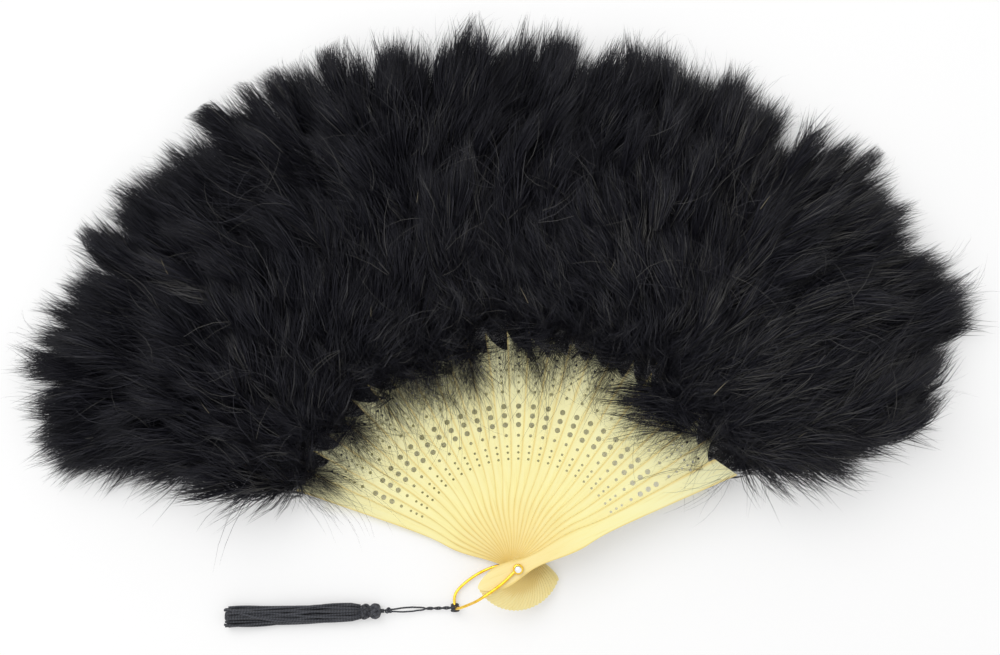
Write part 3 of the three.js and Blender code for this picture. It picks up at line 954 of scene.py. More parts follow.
@dataclass
class Locks:
    """A stock of small locks of down, from which the plumes are set."""

    shapes: tuple[LockShape, ...] = (
        LockShape(LockKind.TUFT, 10, 10, 2, 0.085, 0.20, 0.14, 0.17, 0.72, 0.0062),
        LockShape(LockKind.SPRAY, 10, 9, 2, 0.05, 0.46, 0.95, 0.34, 0.45, 0.0050),
        LockShape(LockKind.FRINGE, 6, 7, 3, 0.10, 0.30, 0.9, 0.22, 0.35, 0.0023),
        LockShape(LockKind.STRAY, 5, 3, 4, 0.04, 0.35, 1.0, 0.35, 0.5, 0.0020),
        LockShape(LockKind.STUB, 3, 1, 3, 0.0, 0.0, 1.0, 0.06, 0.8, 0.022),
        LockShape(LockKind.WISP, 6, 3, 4, 0.05, 0.5, 1.0, 0.6, 0.6, 0.0042),
    )
    seed: int = 7
    collection: bpy.types.Collection = field(init=False)
    first: dict[LockKind, tuple[int, int]] = field(init=False)

    def __post_init__(self) -> None:
        """Makes every variant of every kind, named in the order in which they are picked."""
        rng = np.random.default_rng(self.seed)
        self.collection = bpy.data.collections.new("down_locks")
        self.first = {}
        index = 0
        for shape in self.shapes:
            self.first[shape.kind] = (index, shape.variants)
            for _ in range(shape.variants):
                self.collection.objects.link(self._lock(f"lock_{index:02d}", shape, rng))
                index += 1

    def pick(self, kind: LockKind, rng: Random, count: int) -> np.ndarray:
        """Indices of variants of one kind, at random."""
        start, variants = self.first[kind]
        return rng.integers(start, start + variants, count)

    def clear(self) -> None:
        """Removes the stock once the plumes are set."""
        for lock in list(self.collection.objects):
            mesh = lock.data
            bpy.data.objects.remove(lock)
            bpy.data.meshes.remove(mesh)
        bpy.data.collections.remove(self.collection)

    @staticmethod
    def _lock(name: str, shape: LockShape, rng: Random) -> Piece:
        """One lock of length 1 along +Z that curls towards +X."""
        points, faces, along, column, shade = [], [], [], [], []
        for _ in range(shape.barbs):
            own_shade = rng.normal(0.0, 0.16) + (0.38 if rng.uniform() < 0.09 else 0.0)
            angle, far = rng.uniform(0, 2 * math.pi), math.sqrt(rng.uniform())
            side = np.array((math.cos(angle), math.sin(angle), 0.0)) * far
            root = side * shape.root_spread
            length = rng.uniform(shape.shortest, 1.0)
            bend = np.array((shape.curl * rng.uniform(0.5, 1.3), shape.curl * rng.normal(0, 0.35), 0.0))
            middle = root + np.array((0, 0, 0.55 * length)) + side * shape.lean * 0.6
            tip = root * shape.gather + np.array((0, 0, length))
            tip = tip + side * shape.lean * shape.gather + bend * length
            spin = rng.uniform(0, 2 * math.pi)
            start = len(points)
            for k in range(shape.segments):
                t = k / shape.segments
                centre = root * (1 - t) ** 2 + middle * 2 * t * (1 - t) + tip * t**2
                girth = shape.girth * (1.0 - 0.4 * t)
                for j in range(3):
                    turn = spin + 2 * math.pi * j / 3
                    points.append(centre + girth * np.array((math.cos(turn), math.sin(turn), 0.0)))
                    along.append(t)
                    column.append(j / 2)
                    shade.append(own_shade)
            points.append(tip)
            along.append(1.0)
            column.append(0.5)
            shade.append(own_shade)
            for k in range(shape.segments - 1):
                low, high = start + 3 * k, start + 3 * k + 3
                faces += [(low + j, low + (j + 1) % 3, high + (j + 1) % 3, high + j) for j in range(3)]
            last, end = start + 3 * (shape.segments - 1), len(points) - 1
            faces += [(last + j, last + (j + 1) % 3, end) for j in range(3)]
            faces.append((start + 2, start + 1, start))
        mesh = bpy.data.meshes.new(name)
        mesh.from_pydata([tuple(p) for p in points], [], faces)
        Workshop.note(mesh, "barb", np.array(along))
        Workshop.note(mesh, "column", np.array(column))
        Workshop.note(mesh, "shade", np.array(shade))
        return bpy.data.objects.new(name, mesh)


@dataclass(frozen=True)
class Flat:
    """Numbers drawn between two ends, crowded towards the low one if the power is above 1."""

    low: Numbers
    high: Numbers
    power: float = 1.0

    def draw(self, rng: Random, count: int) -> np.ndarray:
        """As many numbers as asked for."""
        return self.low + (self.high - self.low) * rng.uniform(size=count) ** self.power


@dataclass(frozen=True)
class Bell:
    """Numbers drawn round a middle."""

    middle: float
    spread: float

    def draw(self, rng: Random, count: int) -> np.ndarray:
        """As many numbers as asked for."""
        return rng.normal(self.middle, self.spread, count)


Draw = Flat | Bell | Numbers


@dataclass(frozen=True)
class QuillLayer:
    """Quills of one layer of a plume: how far and how high they end, and what grows on them."""

    count: int
    stations: Span
    heights: Span
    bare_share: float
    locks: int
    end_locks: int
    clumps: int


@dataclass
class Plumes:
    """The marabou plumes on the ends of the sticks. Lengths are in millimetres."""

    finish: Material
    locks: Locks
    layers: tuple[QuillLayer, ...] = (
        QuillLayer(10, (234.0, 256.0), (3.0, 20.0), 0.35, 20, 12, 5),
        QuillLayer(8, (150.0, 236.0), (16.0, 40.0), 0.04, 24, 7, 8),
    )
    under_locks: int = 26
    reach_offsets: tuple[float, ...] = (
        -10, 5, -4, 4, 3, 0, 5, 9, 12, 7, 5, -1, 2, -6, -5, -11, 0, 5, 0, -6, -6, -2, -9, -1, -2, -15,
    )
    flared_share: float = 1.5
    front_fall: float = 26.0
    cover_locks: int = 34
    spill_locks: int = 22
    stray_locks: int = 9
    edge_strays: int = 6
    stub_every: int = 3
    wisps: int = 6
    lock_length: Span = (25.0, 38.0)
    floor: float = 0.5
    ceiling: float = 50.5
    farthest: float = 284.0
    back_flare: float = 13.0
    front_flare: float = 15.5
    borders: tuple[float, ...] = (
        108, 106, 116, 103, 103, 116, 101, 101, 99, 97, 98, 100, 121,
        103, 98, 102, 106, 104, 101, 117, 103, 99, 98, 104, 112, 121,
    )
    bare_from: float = 115.0
    swept_blades: tuple[int, ...] = (21, 22)
    swept_locks: int = 8
    hem_locks: int = 30
    painted_light_side: float = 0.22
    faded_root: float = 0.10
    painted_shade_side: float = 0.08
    blade_pitch: float = math.radians(5.304)
    end_span: Span = (180.0, 232.0)
    thin_span: Span = (11, 16)
    shyness: float = 0.55
    stray_border: float = 108.0
    quill_start: float = 114.0
    quill_root_heights: Span = (3.0, 33.0)
    quill_end_share: float = 0.9
    tuft_share: float = 0.6
    palest: float = 0.9
    map_edge: float = 0.02
    surface: tuple[Span, ...] = ((125, 36), (160, 42), (200, 39), (232, 30))
    core_rows: tuple[Span, ...] = (
        (123.0, 12.0), (138.0, 18.0), (165.0, 20.0), (195.0, 17.0), (215.0, 12.0), (228.0, 8.0),
    )
    core_section: tuple[Span, ...] = (
        (-0.85, 0.0), (0.85, 0.0), (1.0, 0.5), (0.5, 1.0), (-0.5, 1.0), (-1.0, 0.5),
    )
    core_bottom: float = 9.0
    core_inset: float = 0.8
    core_share: float = 0.92
    core_free_share: float = 0.55
    core_tone: float = 0.03
    seed: int = 2024
    tree: NodeTree = field(init=False)

    def __post_init__(self) -> None:
        """Builds the tree that sets locks of down on their roots."""
        tree = NodeTree("set_down", {"Geometry": "Geometry", "Locks": "Collection", "Finish": "Material"})
        spots, core = tree.split("rooted")
        wires = {"Collection": tree.given["Locks"], "Separate Children": True, "Reset Children": True}
        stock = tree.out("GeometryNodeCollectionInfo", wires)
        wires = {0: tree.named("flow", "FLOAT_VECTOR"), 1: tree.named("bend", "FLOAT_VECTOR")}
        turn = tree.out("FunctionNodeAxesToRotation", wires, primary_axis="Z", secondary_axis="X")
        size = tree.named("size")
        wires = {
            "Points": spots, "Instance": stock, "Pick Instance": True,
            "Instance Index": tree.named("variant", "INT"), "Rotation": turn,
            "Scale": tree.vector(size, size, size),
        }
        grown = tree.out("GeometryNodeInstanceOnPoints", wires)
        grown = tree.out("GeometryNodeRealizeInstances", {"Geometry": grown})
        core = tree.store(core, "barb", tree.named("core_row"), "FLOAT")
        core = tree.store(core, "column", tree.named("core_column"), "FLOAT")
        whole = tree.join(core, grown)
        own = tree.named("tone")
        tone = tree.math("ADD", own, tree.named("shade"), clamp=True)
        tone = tree.math("MINIMUM", tone, tree.math("MAXIMUM", own, self.palest))
        edge = self.map_edge
        across = tree.math("MULTIPLY_ADD", tone, 1.0 - 3 * edge, edge)
        across = tree.math("MULTIPLY_ADD", tree.named("column"), edge, across)
        along = tree.math("MULTIPLY_ADD", tree.named("barb"), 1.0 - 2 * edge, edge)
        mesh = tree.store(whole, "OFBake", tree.vector(across, along), "FLOAT2", "CORNER")
        tree.end(tree.out("GeometryNodeSetShadeSmooth", {"Geometry": mesh}))
        self.tree = tree

    def build(self, blades: list[Blade]) -> list[Piece]:
        """Makes and mounts every plume.

        Args:
            blades: Where the sticks sit.

        Returns:
            The plumes, from the back guard to the front guard.
        """
        return [self._plume(blade, np.random.default_rng((self.seed, blade.index))) for blade in blades]

    def _plume(self, blade: Blade, rng: Random) -> Piece:
        """One plume on its stick's body."""
        down: list[Batch] = []
        for part in (self._quill_locks, self._cover, self._fringe, self._strays):
            part(blade, rng, down)
        roots, flows, bends, sizes, variants, tones = (np.concatenate(rows) for rows in zip(*down))
        flows = self._keep_level(roots, flows, sizes)
        core, faces = self._core(blade)
        count, more, ring = len(roots), len(core), len(self.core_section)
        points = blade.to_row(np.vstack([roots, core]))
        spare = np.zeros((more, 3))
        piece = Workshop.raw(
            blade.plume_node + "_dressed", points, None, [[count + k for k in f] for f in faces],
            rooted=np.arange(count + more) < count,
            flow=np.vstack([blade.aim(flows), spare]),
            bend=np.vstack([blade.aim(bends), spare]),
            size=np.concatenate([sizes * MM, np.zeros(more)]),
            variant=np.concatenate([variants, np.zeros(more, dtype=int)]).astype(np.int32),
            tone=np.concatenate([tones, np.full(more, self.core_tone)]),
            core_row=np.concatenate([np.zeros(count), 0.05 + 0.02 * (np.arange(more) // ring % 2)]),
            core_column=np.concatenate([np.zeros(count), np.arange(more) % ring % 2 * 1.0]),
        )
        self.tree.attach(piece, Locks=self.locks.collection, Finish=self.finish)
        Workshop.settle(piece)
        self._trim(piece.data)
        return Workshop.mount(piece, blade.body, "plume", blade.plume_node)

    def _sector(self, blade: Blade, station: np.ndarray) -> tuple[np.ndarray, np.ndarray]:
        """Lateral room of a plume to the left and to the right at stations along it."""
        half = station * math.tan(self.blade_pitch / 2)
        swell = np.sin(np.pi * np.clip((station - 100) / 180, 0, 1)) ** 0.7
        late = smoothstep(station, 105.0, 180.0) - 0.3 * smoothstep(station, 205.0, 237.0)
        left = half + (self.back_flare * swell if blade.kind is StickKind.BACK_GUARD else 0.0)
        right = half + (self.front_flare * late if blade.kind is StickKind.FRONT_GUARD else 0.0)
        return left, right

    def _fall(self, blade: Blade, station: Numbers, share: Numbers) -> Numbers:
        """How much sooner a quill ends towards the free side of the front plume."""
        fall = self.front_fall if blade.kind is StickKind.FRONT_GUARD else 0.0
        return fall * share**1.5 * smoothstep(station, *self.end_span)

    def _offset(self, blade: Blade, station: Numbers) -> Numbers:
        """How much farther than most a plume reaches, at stations along it."""
        return self.reach_offsets[blade.index] * smoothstep(station, *self.end_span)

    def _across(self, blade: Blade, station: np.ndarray, share: Numbers) -> np.ndarray:
        """Places across a plume, from its left side at a share of 0 to its right side at 1."""
        left, right = self._sector(blade, station)
        return -left + (left + right) * share

    def _quill_locks(self, blade: Blade, rng: Random, down: list[Batch]) -> None:
        """Locks along the quills that fan out from the end of the stick, with a tuft at each end."""
        for layer in self.layers:
            wider = 1.0 if blade.kind is StickKind.INNER else self.flared_share
            count, clumps = int(layer.count * wider), int(layer.clumps * wider)
            shares = (np.arange(clumps) + rng.uniform(0.2, 0.8, clumps)) / clumps
            stations = rng.uniform(*layer.stations, clumps)
            stations += self._offset(blade, stations)
            heights = rng.uniform(*layer.heights, clumps)
            for q in range(count):
                k = q % clumps
                share = np.clip(shares[k] + rng.normal(0, 0.4) / clumps, 0.0, 1.0)
                station = stations[k] + rng.normal(0, 4.0) - float(self._fall(blade, stations[k], share))
                height = np.clip(heights[k] + rng.normal(0, 3.0), *layer.heights)
                end = np.array([self._across(blade, np.array(station), share), station, height])
                self._quill(blade, rng, down, layer, end)

    def _quill(
        self, blade: Blade, rng: Random, down: list[Batch], layer: QuillLayer, end: np.ndarray
    ) -> None:
        """Locks of one quill.

        Args:
            blade: The stick that carries it.
            rng: Seeded randomness.
            down: Takes the locks.
            layer: The layer it belongs to.
            end: Where it ends.
        """
        start = max(self.quill_start, self.borders[blade.index])
        root = np.array([rng.normal(0, 2.5), rng.uniform(start, start + 8), rng.uniform(-3.0, 8.0)])
        root[2] += blade.top
        root[2] = np.clip(root[2], *self.quill_root_heights)
        middle = (root + end) / 2 + np.array([rng.normal(0, 4.0), 0.0, rng.uniform(2.0, 11.0)])
        t = layer.bare_share + (1 - layer.bare_share) * rng.uniform(0.0, 1.0, layer.locks)
        t = np.concatenate([t, rng.uniform(self.quill_end_share, 1.0, layer.end_locks)])[:, None]
        count = len(t)
        roots = root * (1 - t) ** 2 + middle * 2 * t * (1 - t) + end * t**2
        tangent = 2 * (1 - t) * (middle - root) + 2 * t * (end - middle)
        tangent /= np.linalg.norm(tangent, axis=1, keepdims=True)
        is_end = t[:, 0] > self.quill_end_share
        narrow, wide = rng.uniform(1, 19, count), rng.uniform(14, 58, count)
        spread = np.radians(np.where(is_end, narrow, wide * (1.0 - 0.45 * t[:, 0])))[:, None]
        around = rng.normal(0, 1, (count, 3)) + np.array([rng.normal(0, 0.8), 0.0, 0.3])
        if blade.kind is StickKind.FRONT_GUARD:
            around[:, 0] -= 1.2 * (1.0 - smoothstep(roots[:, 1], 130.0, 170.0))
        away = float(self._is_bare(blade.index - 1)) - float(self._is_bare(blade.index + 1))
        around[:, 0] += 2.2 * away * (1.0 - smoothstep(roots[:, 1], 128.0, 158.0))
        around -= tangent * np.sum(around * tangent, axis=1, keepdims=True)
        around /= np.linalg.norm(around, axis=1, keepdims=True)
        flows = tangent * np.cos(spread) + around * np.sin(spread)
        swirl = self._swirl(blade, roots) * (1.0 - 0.6 * smoothstep(roots[:, 1], 205.0, 245.0))
        flows = self._turned(flows, swirl)
        bends = np.array([0.0, 1.0, -0.3]) + rng.normal(0, 0.4, (count, 3))
        bends[:, 0] -= 1.6 * swirl
        sizes = rng.uniform(*self.lock_length, count)
        kinds = np.where(
            is_end | (rng.uniform(size=count) < self.tuft_share),
            self.locks.pick(LockKind.TUFT, rng, count),
            self.locks.pick(LockKind.SPRAY, rng, count),
        )
        x = blade.to_row(roots)[:, 0]
        # Painted light and shade across the fan: locks are paler on its right side and deeper on its left, as
        # the light falls; they are also paler near their roots.
        faded = self.painted_light_side * smoothstep(x, 0.02, 0.16) - self.painted_shade_side * smoothstep(-x, 0.05, 0.16)
        faded += self.faded_root * (1.0 - smoothstep(roots[:, 1], 160.0, 205.0))
        tones = np.clip(self._tones(rng, count) + rng.normal(0, 0.08) + faded, 0.0, self.palest)
        down.append((roots, flows, bends, sizes, kinds, tones))

    @staticmethod
    def _swirl(blade: Blade, places: np.ndarray) -> np.ndarray:
        """How far the down is brushed aside at places, in radians, alike on neighbouring plumes."""
        x, y, _ = blade.to_row(places).T / MM
        return 0.50 * np.sin(x / 37 + 1.3 * np.sin(y / 45)) + 0.36 * np.sin(y / 27 + x / 58 + 2.0)

    @staticmethod
    def _turned(directions: np.ndarray, angles: np.ndarray) -> np.ndarray:
        """Directions turned about the upright, row by row."""
        c, s = np.cos(angles), np.sin(angles)
        x, y, z = directions.T
        return np.stack([x * c - y * s, x * s + y * c, z], axis=1)

    @staticmethod
    def _tones(rng: Random, count: int) -> np.ndarray:
        """Mostly deep tones, with a few faded locks."""
        tones = rng.beta(1.6, 2.8, count) * 0.75
        return np.where(rng.uniform(size=count) > 0.95, rng.uniform(0.65, 0.8, count), tones)

    def _grow(
        self, rng: Random, down: list[Batch], kind: LockKind, count: int, *, across: Draw, along: Draw,
        height: Draw, flow: tuple[Draw, Draw, Draw], bend: tuple[Draw, Draw, Draw], size: Draw,
        tone: Draw | None = None,
    ) -> None:
        """Sets locks of one kind, whose measures are drawn in the order of the arguments.

        Args:
            rng: Seeded randomness.
            down: Takes the locks.
            kind: Kind of lock.
            count: How many there are.
            across: Where they grow across the stick.
            along: Where they grow along it.
            height: Where they grow above the ground.
            flow: Direction in which they point.
            bend: Direction to which they curl.
            size: Their lengths.
            tone: Their tones, of the usual mix if left out.
        """

        def drawn(*draws: Draw) -> np.ndarray:
            rows = [d.draw(rng, count) if isinstance(d, (Flat, Bell)) else np.full(count, d) for d in draws]
            return np.stack(rows, axis=1)

        roots, flows, bends = drawn(across, along, height), drawn(*flow), drawn(*bend)
        sizes = drawn(size)[:, 0]
        flows = flows / np.linalg.norm(flows, axis=1, keepdims=True)
        tones = self._tones(rng, count) if tone is None else drawn(tone)[:, 0]
        down.append((roots, flows, bends, sizes, self.locks.pick(kind, rng, count), tones))

    def _is_bare(self, index: int) -> bool:
        """Whether the end of a stick shows."""
        return 0 <= index < len(self.borders) and self.borders[index] > self.bare_from

    def _clear_side(self, blade: Blade) -> Flat:
        """Where locks grow across a stick, clear of the bare end of a stick beside it."""
        low = -4.5 if self._is_bare(blade.index - 1) else -6.5
        high = -1.5 if self._is_bare(blade.index + 1) else 6.5
        return Flat(low, high)

    def _thinned(self, blade: Blade, by: float) -> float:
        """Share of the locks that is left on a stick, since they get fewer towards the right."""
        return 1.0 - by * float(smoothstep(blade.index, *self.thin_span))

    def _cover(self, blade: Blade, rng: Random, down: list[Batch]) -> None:
        """Locks over the end of the stick, and below it down to the ground."""
        border, top = self.borders[blade.index], blade.top
        count = self.cover_locks // 2
        is_shy = self._is_bare(blade.index) or blade.index == len(self.borders) - 2
        shy = self.shyness if is_shy else 0.0
        nearest = border - 3 * shy
        for kind, back in ((LockKind.TUFT, -0.15), (LockKind.SPRAY, -0.6)):
            self._grow(
                rng, down, kind, count,
                across=self._clear_side(blade), along=Flat(nearest + 7, nearest + 28),
                height=Flat(top + 1.5, top + 10),
                flow=(Bell(0, 0.5), Flat(back + shy, 1.0), Flat(0.1, 0.8)),
                bend=(Bell(0, 0.6), 0.8, -0.4), size=Flat(18, 30),
            )
        is_end = blade.kind is not StickKind.INNER
        inward = {StickKind.BACK_GUARD: 0.6, StickKind.FRONT_GUARD: -0.3}.get(blade.kind, 0.0)
        onward = 0.6 if is_end else 0.0
        self._grow(
            rng, down, LockKind.TUFT, count * 2 if is_end else count,
            across=Flat(-7, 6), along=Flat(111, 126), height=Flat(2.0, max(2.5, blade.bottom - 4.0)),
            flow=(Bell(inward, 0.2 if is_end else 0.6), Flat(onward - 0.5, onward + 1.0), Flat(-0.3, 0.2)),
            bend=(Bell(0, 0.6), 0.5, 0.0), size=Flat(16, 26),
        )
        count = int(self.under_locks * self.flared_share) if is_end else self.under_locks
        station, share = rng.uniform(124, 238, count), rng.uniform(size=count)
        station += self._offset(blade, station)
        station -= self._fall(blade, station, share)
        self._grow(
            rng, down, LockKind.TUFT, count,
            across=self._across(blade, station, share), along=station, height=Flat(1.5, 6.0),
            flow=(Bell(0, 0.35), 1.0, Flat(-0.12, 0.08)),
            bend=(Bell(0, 0.8), 0.0, 0.0), size=Flat(*self.lock_length),
        )

    def _fringe(self, blade: Blade, rng: Random, down: list[Batch]) -> None:
        """Locks that spill over the border, those swept aside, and the hem of the front guard."""
        border, top = self.borders[blade.index], blade.top
        self._grow(
            rng, down, LockKind.FRINGE, int(self.spill_locks * self._thinned(blade, by=0.55)),
            across=self._clear_side(blade), along=Flat(border + 3, border + 20),
            height=Flat(top + 2.5, top + 8),
            flow=(Bell(0, 0.3), -1.0, Flat(-0.15, 0.1)),
            bend=(Bell(0, 1.0), 0.0, Flat(-0.3, 0.1)), size=Flat(18, 36, power=1.5),
        )
        swept = (LockKind.TUFT, LockKind.SPRAY, LockKind.FRINGE)
        for kind in swept if blade.index in self.swept_blades else ():
            self._grow(
                rng, down, kind, self.swept_locks,
                across=Flat(-5, 5), along=Flat(108, 121), height=Flat(top + 2, top + 10),
                flow=(Bell(-0.83, 0.16), Bell(-0.5, 0.16), Flat(0.0, 0.22)),
                bend=(0.0, Bell(-0.6, 0.4), -0.4), size=Flat(28, 46),
            )
        if blade.kind is StickKind.FRONT_GUARD:
            self._grow(
                rng, down, LockKind.TUFT, self.hem_locks,
                across=Flat(-2, 5), along=Flat(112, 150), height=Flat(6, 22),
                flow=(Flat(0.15, 0.75), 1.0, Flat(-0.3, 0.1)),
                bend=(Bell(0, 0.6), 0.5, -0.3), size=Flat(14, 22),
            )
            self._grow(
                rng, down, LockKind.FRINGE, self.hem_locks,
                across=Flat(0, 4), along=Flat(100, 124), height=Flat(8, 22),
                flow=(1.0, Flat(-0.3, 0.6), Flat(-0.3, 0.1)),
                bend=(Bell(0, 0.6), Bell(0, 0.6), -0.3), size=Flat(8, 14),
            )

    def _strays(self, blade: Blade, rng: Random, down: list[Batch]) -> None:
        """Single long barbs over the sticks, past the edge and over the down, and a few bare quill ends."""
        border, top = min(self.borders[blade.index], self.stray_border), blade.top
        any_side = (Bell(0, 1.0), 0.0, 0.0)
        self._grow(
            rng, down, LockKind.STRAY, int(self.stray_locks * self._thinned(blade, by=0.4)),
            across=Flat(-6, 6), along=Flat(border - 4, border + 14), height=Flat(top + 3, top + 7),
            flow=(Bell(0, 0.35), -1.0, Flat(-0.08, 0.06)),
            bend=(Bell(0, 1.0), 0.0, Flat(-0.3, 0.1)), size=Flat(24, 52, power=2),
        )
        station = rng.uniform(246, 262, self.edge_strays) + self.reach_offsets[blade.index]
        share = rng.uniform(size=self.edge_strays)
        station -= self._fall(blade, station, share)
        self._grow(
            rng, down, LockKind.STRAY, self.edge_strays,
            across=self._across(blade, station, share), along=station, height=Flat(4, 18),
            flow=(Bell(0, 0.3), 1.0, Flat(-0.1, 0.2)), bend=any_side, size=Flat(20, 34),
        )
        count = 1 if blade.index % self.stub_every == 1 else 0
        station, share = rng.uniform(130, 230, count), rng.uniform(size=count)
        self._grow(
            rng, down, LockKind.STUB, count,
            across=self._across(blade, station, share), along=station, height=Flat(40, 47),
            flow=(Bell(0, 0.4), 1.0, Flat(-0.1, 0.15)), bend=any_side, size=Flat(6, 12), tone=1.0,
        )
        station, share = rng.uniform(126, 232, self.wisps), rng.uniform(size=self.wisps)
        surface = np.interp(station, *zip(*self.surface))
        self._grow(
            rng, down, LockKind.WISP, self.wisps,
            across=self._across(blade, station, share), along=station, height=Flat(surface - 2, surface + 3),
            flow=(Bell(0, 0.9), Flat(0.2, 1.0), Flat(-0.1, 0.05)), bend=any_side, size=Flat(22, 40),
            tone=Flat(0.68, 0.86),
        )

    def _keep_level(self, roots: np.ndarray, flows: np.ndarray, sizes: np.ndarray) -> np.ndarray:
        """Turns locks that would run into the ground or stand too tall back towards the level."""
        flows = flows.copy()
        low = (self.floor + 1.0 - roots[:, 2]) / sizes
        high = (self.ceiling - 4.0 - roots[:, 2]) / sizes
        flows[:, 2] = np.clip(flows[:, 2], np.minimum(low, 0.9), np.maximum(high, -0.9))
        return flows / np.linalg.norm(flows, axis=1, keepdims=True)

    def _core(self, blade: Blade) -> tuple[np.ndarray, list[tuple[int, ...]]]:
        """The dense dark middle of a plume, which no light gets through."""
        points = []
        free_side = {StickKind.BACK_GUARD: -1.0, StickKind.FRONT_GUARD: 1.0}.get(blade.kind, 0.0)
        for station, height in self.core_rows:
            station += min(0.0, float(self._offset(blade, station)))
            station -= self._fall(blade, station, 1.0)
            left, right = (float(v) for v in self._sector(blade, np.array(station)))
            for x, z in self.core_section:
                room = (left if x < 0 else right) - self.core_inset
                filled = self.core_free_share if x * free_side > 0 else self.core_share
                points.append((x * room * filled, station, self.core_bottom + (height - 4.0) * z))
        return np.array(points), skin(len(self.core_rows), len(self.core_section))

    def _trim(self, mesh: bpy.types.Mesh) -> None:
        """Lays barbs that touch the ground on it and trims those that stick out too far."""
        spots = np.empty(len(mesh.vertices) * 3)
        mesh.vertices.foreach_get("co", spots)
        spots = spots.reshape(-1, 3)
        spots[:, 2] = np.clip(spots[:, 2], self.floor * MM, self.ceiling * MM)
        far = np.hypot(spots[:, 0], spots[:, 1])
        shrink = np.minimum(1.0, self.farthest * MM / np.maximum(far, 1e-9))
        spots[:, :2] *= shrink[:, None]
        mesh.vertices.foreach_set("co", spots.ravel())
        mesh.update()


@dataclass
class Rivet:
    """The pin that the sticks turn on, with its back head and its domed cap. Lengths are in millimetres."""

    finish: Material
    head_radius: float = 3.0
    head_thickness: float = 0.9
    pin_radius: float = 1.0
    pin_top: float = 28.7
    cap_radius: float = 1.8
    cap_seat: float = 27.9
    cap_height: float = 1.8
    bore_radius: float = 1.2
    bore_roof: float = 28.9
    sides: int = 40

    def build(self) -> list[Piece]:
        """Makes and mounts the pin and the cap."""
        head, edge = self.head_radius, 0.2
        pin = [
            (0.0, 0.0), (head - edge, 0.0), (head, edge), (head, self.head_thickness - edge),
            (head - edge, self.head_thickness), (self.pin_radius, self.head_thickness),
            (self.pin_radius, self.pin_top - 0.15), (self.pin_radius - 0.15, self.pin_top),
            (0.0, self.pin_top),
        ]
        waist = self.cap_seat + self.cap_height * 0.35
        crown = self.cap_seat + self.cap_height - waist
        arc = np.linspace(0.0, math.pi / 2, 9)
        dome = [(self.cap_radius * math.cos(a), waist + crown * math.sin(a)) for a in arc]
        cap = [
            (0.0, self.bore_roof), (self.bore_radius, self.bore_roof), (self.bore_radius, self.cap_seat),
            (self.cap_radius - 0.1, self.cap_seat), (self.cap_radius, self.cap_seat + 0.1), *dome[:-1],
            (0.0, waist + crown),
        ]
        pieces = []
        for name, profile in (("rivet_pin", pin), ("rivet_cap", cap)):
            piece = self._turned(name + "_dressed", profile)
            pieces.append(Workshop.mount(piece, "back_guard", "rivet", name))
        return pieces

    def _turned(self, name: str, profile: list[Span]) -> Piece:
        """A closed solid turned about the rivet's axis from a profile that starts and ends on it."""
        points, rings = [], []
        for radius, height in profile:
            count = 1 if radius == 0.0 else self.sides
            rings.append((len(points), count))
            for k in range(count):
                angle = 2 * math.pi * k / self.sides
                points.append((radius * math.cos(angle), radius * math.sin(angle), height))
        faces = []
        for (low, few), (high, many) in zip(rings, rings[1:]):
            for k in range(self.sides):
                n = (k + 1) % self.sides
                ring = [low + k % few, low + n % few, high + n % many, high + k % many]
                faces.append(tuple(dict.fromkeys(ring)))
        piece = Workshop.raw(name, np.array(points) * MM, None, faces)
        piece.data.materials.append(self.finish)
        piece.data.polygons.foreach_set("use_smooth", [True] * len(piece.data.polygons))
        piece.data.set_sharp_from_angle(angle=math.radians(40))
        return piece


@dataclass
class Bail:
    """The bent gold wire that swings on the rivet. Lengths are in millimetres."""

    finish: Material
    strands: Strands
    direction: float = math.radians(212.4)
    wire_radius: float = 0.75
    eye_radius: float = 1.95
    front_height: float = 26.85
    back_height: float = 1.95
    route: tuple[tuple[float, float, float], ...] = (
        (1.95, 0.0, 26.85), (11.25, 1.5, 26.85), (24.0, 1.5, 26.85), (31.6, 1.5, 16.65), (37.7, 0.75, 8.59),
        (39.2, 0.0, 3.4), (35.28, -5.4, 1.95), (25.09, -7.5, 1.95), (13.33, -6.375, 1.95),
        (0.975, -1.677, 1.95),
    )

    def build(self) -> Piece:
        """Makes and mounts the wire with an eye at each end."""
        turns = np.linspace(0, 2 * math.pi, 33)[:-1]
        eye = np.stack([np.cos(turns), np.sin(turns), np.zeros(32)], axis=1) * self.eye_radius
        routes = [
            through(np.array(self.route), 120),
            eye + (0.0, 0.0, self.front_height),
            eye + (0.0, 0.0, self.back_height),
        ]
        routes = [r @ upright_turn(self.direction) * MM for r in routes]
        piece = self.strands.sweep("bail_dressed", routes, self.wire_radius * MM, self.finish, 2, sides=16)
        return Workshop.mount(piece, "bail", "bail", "bail")


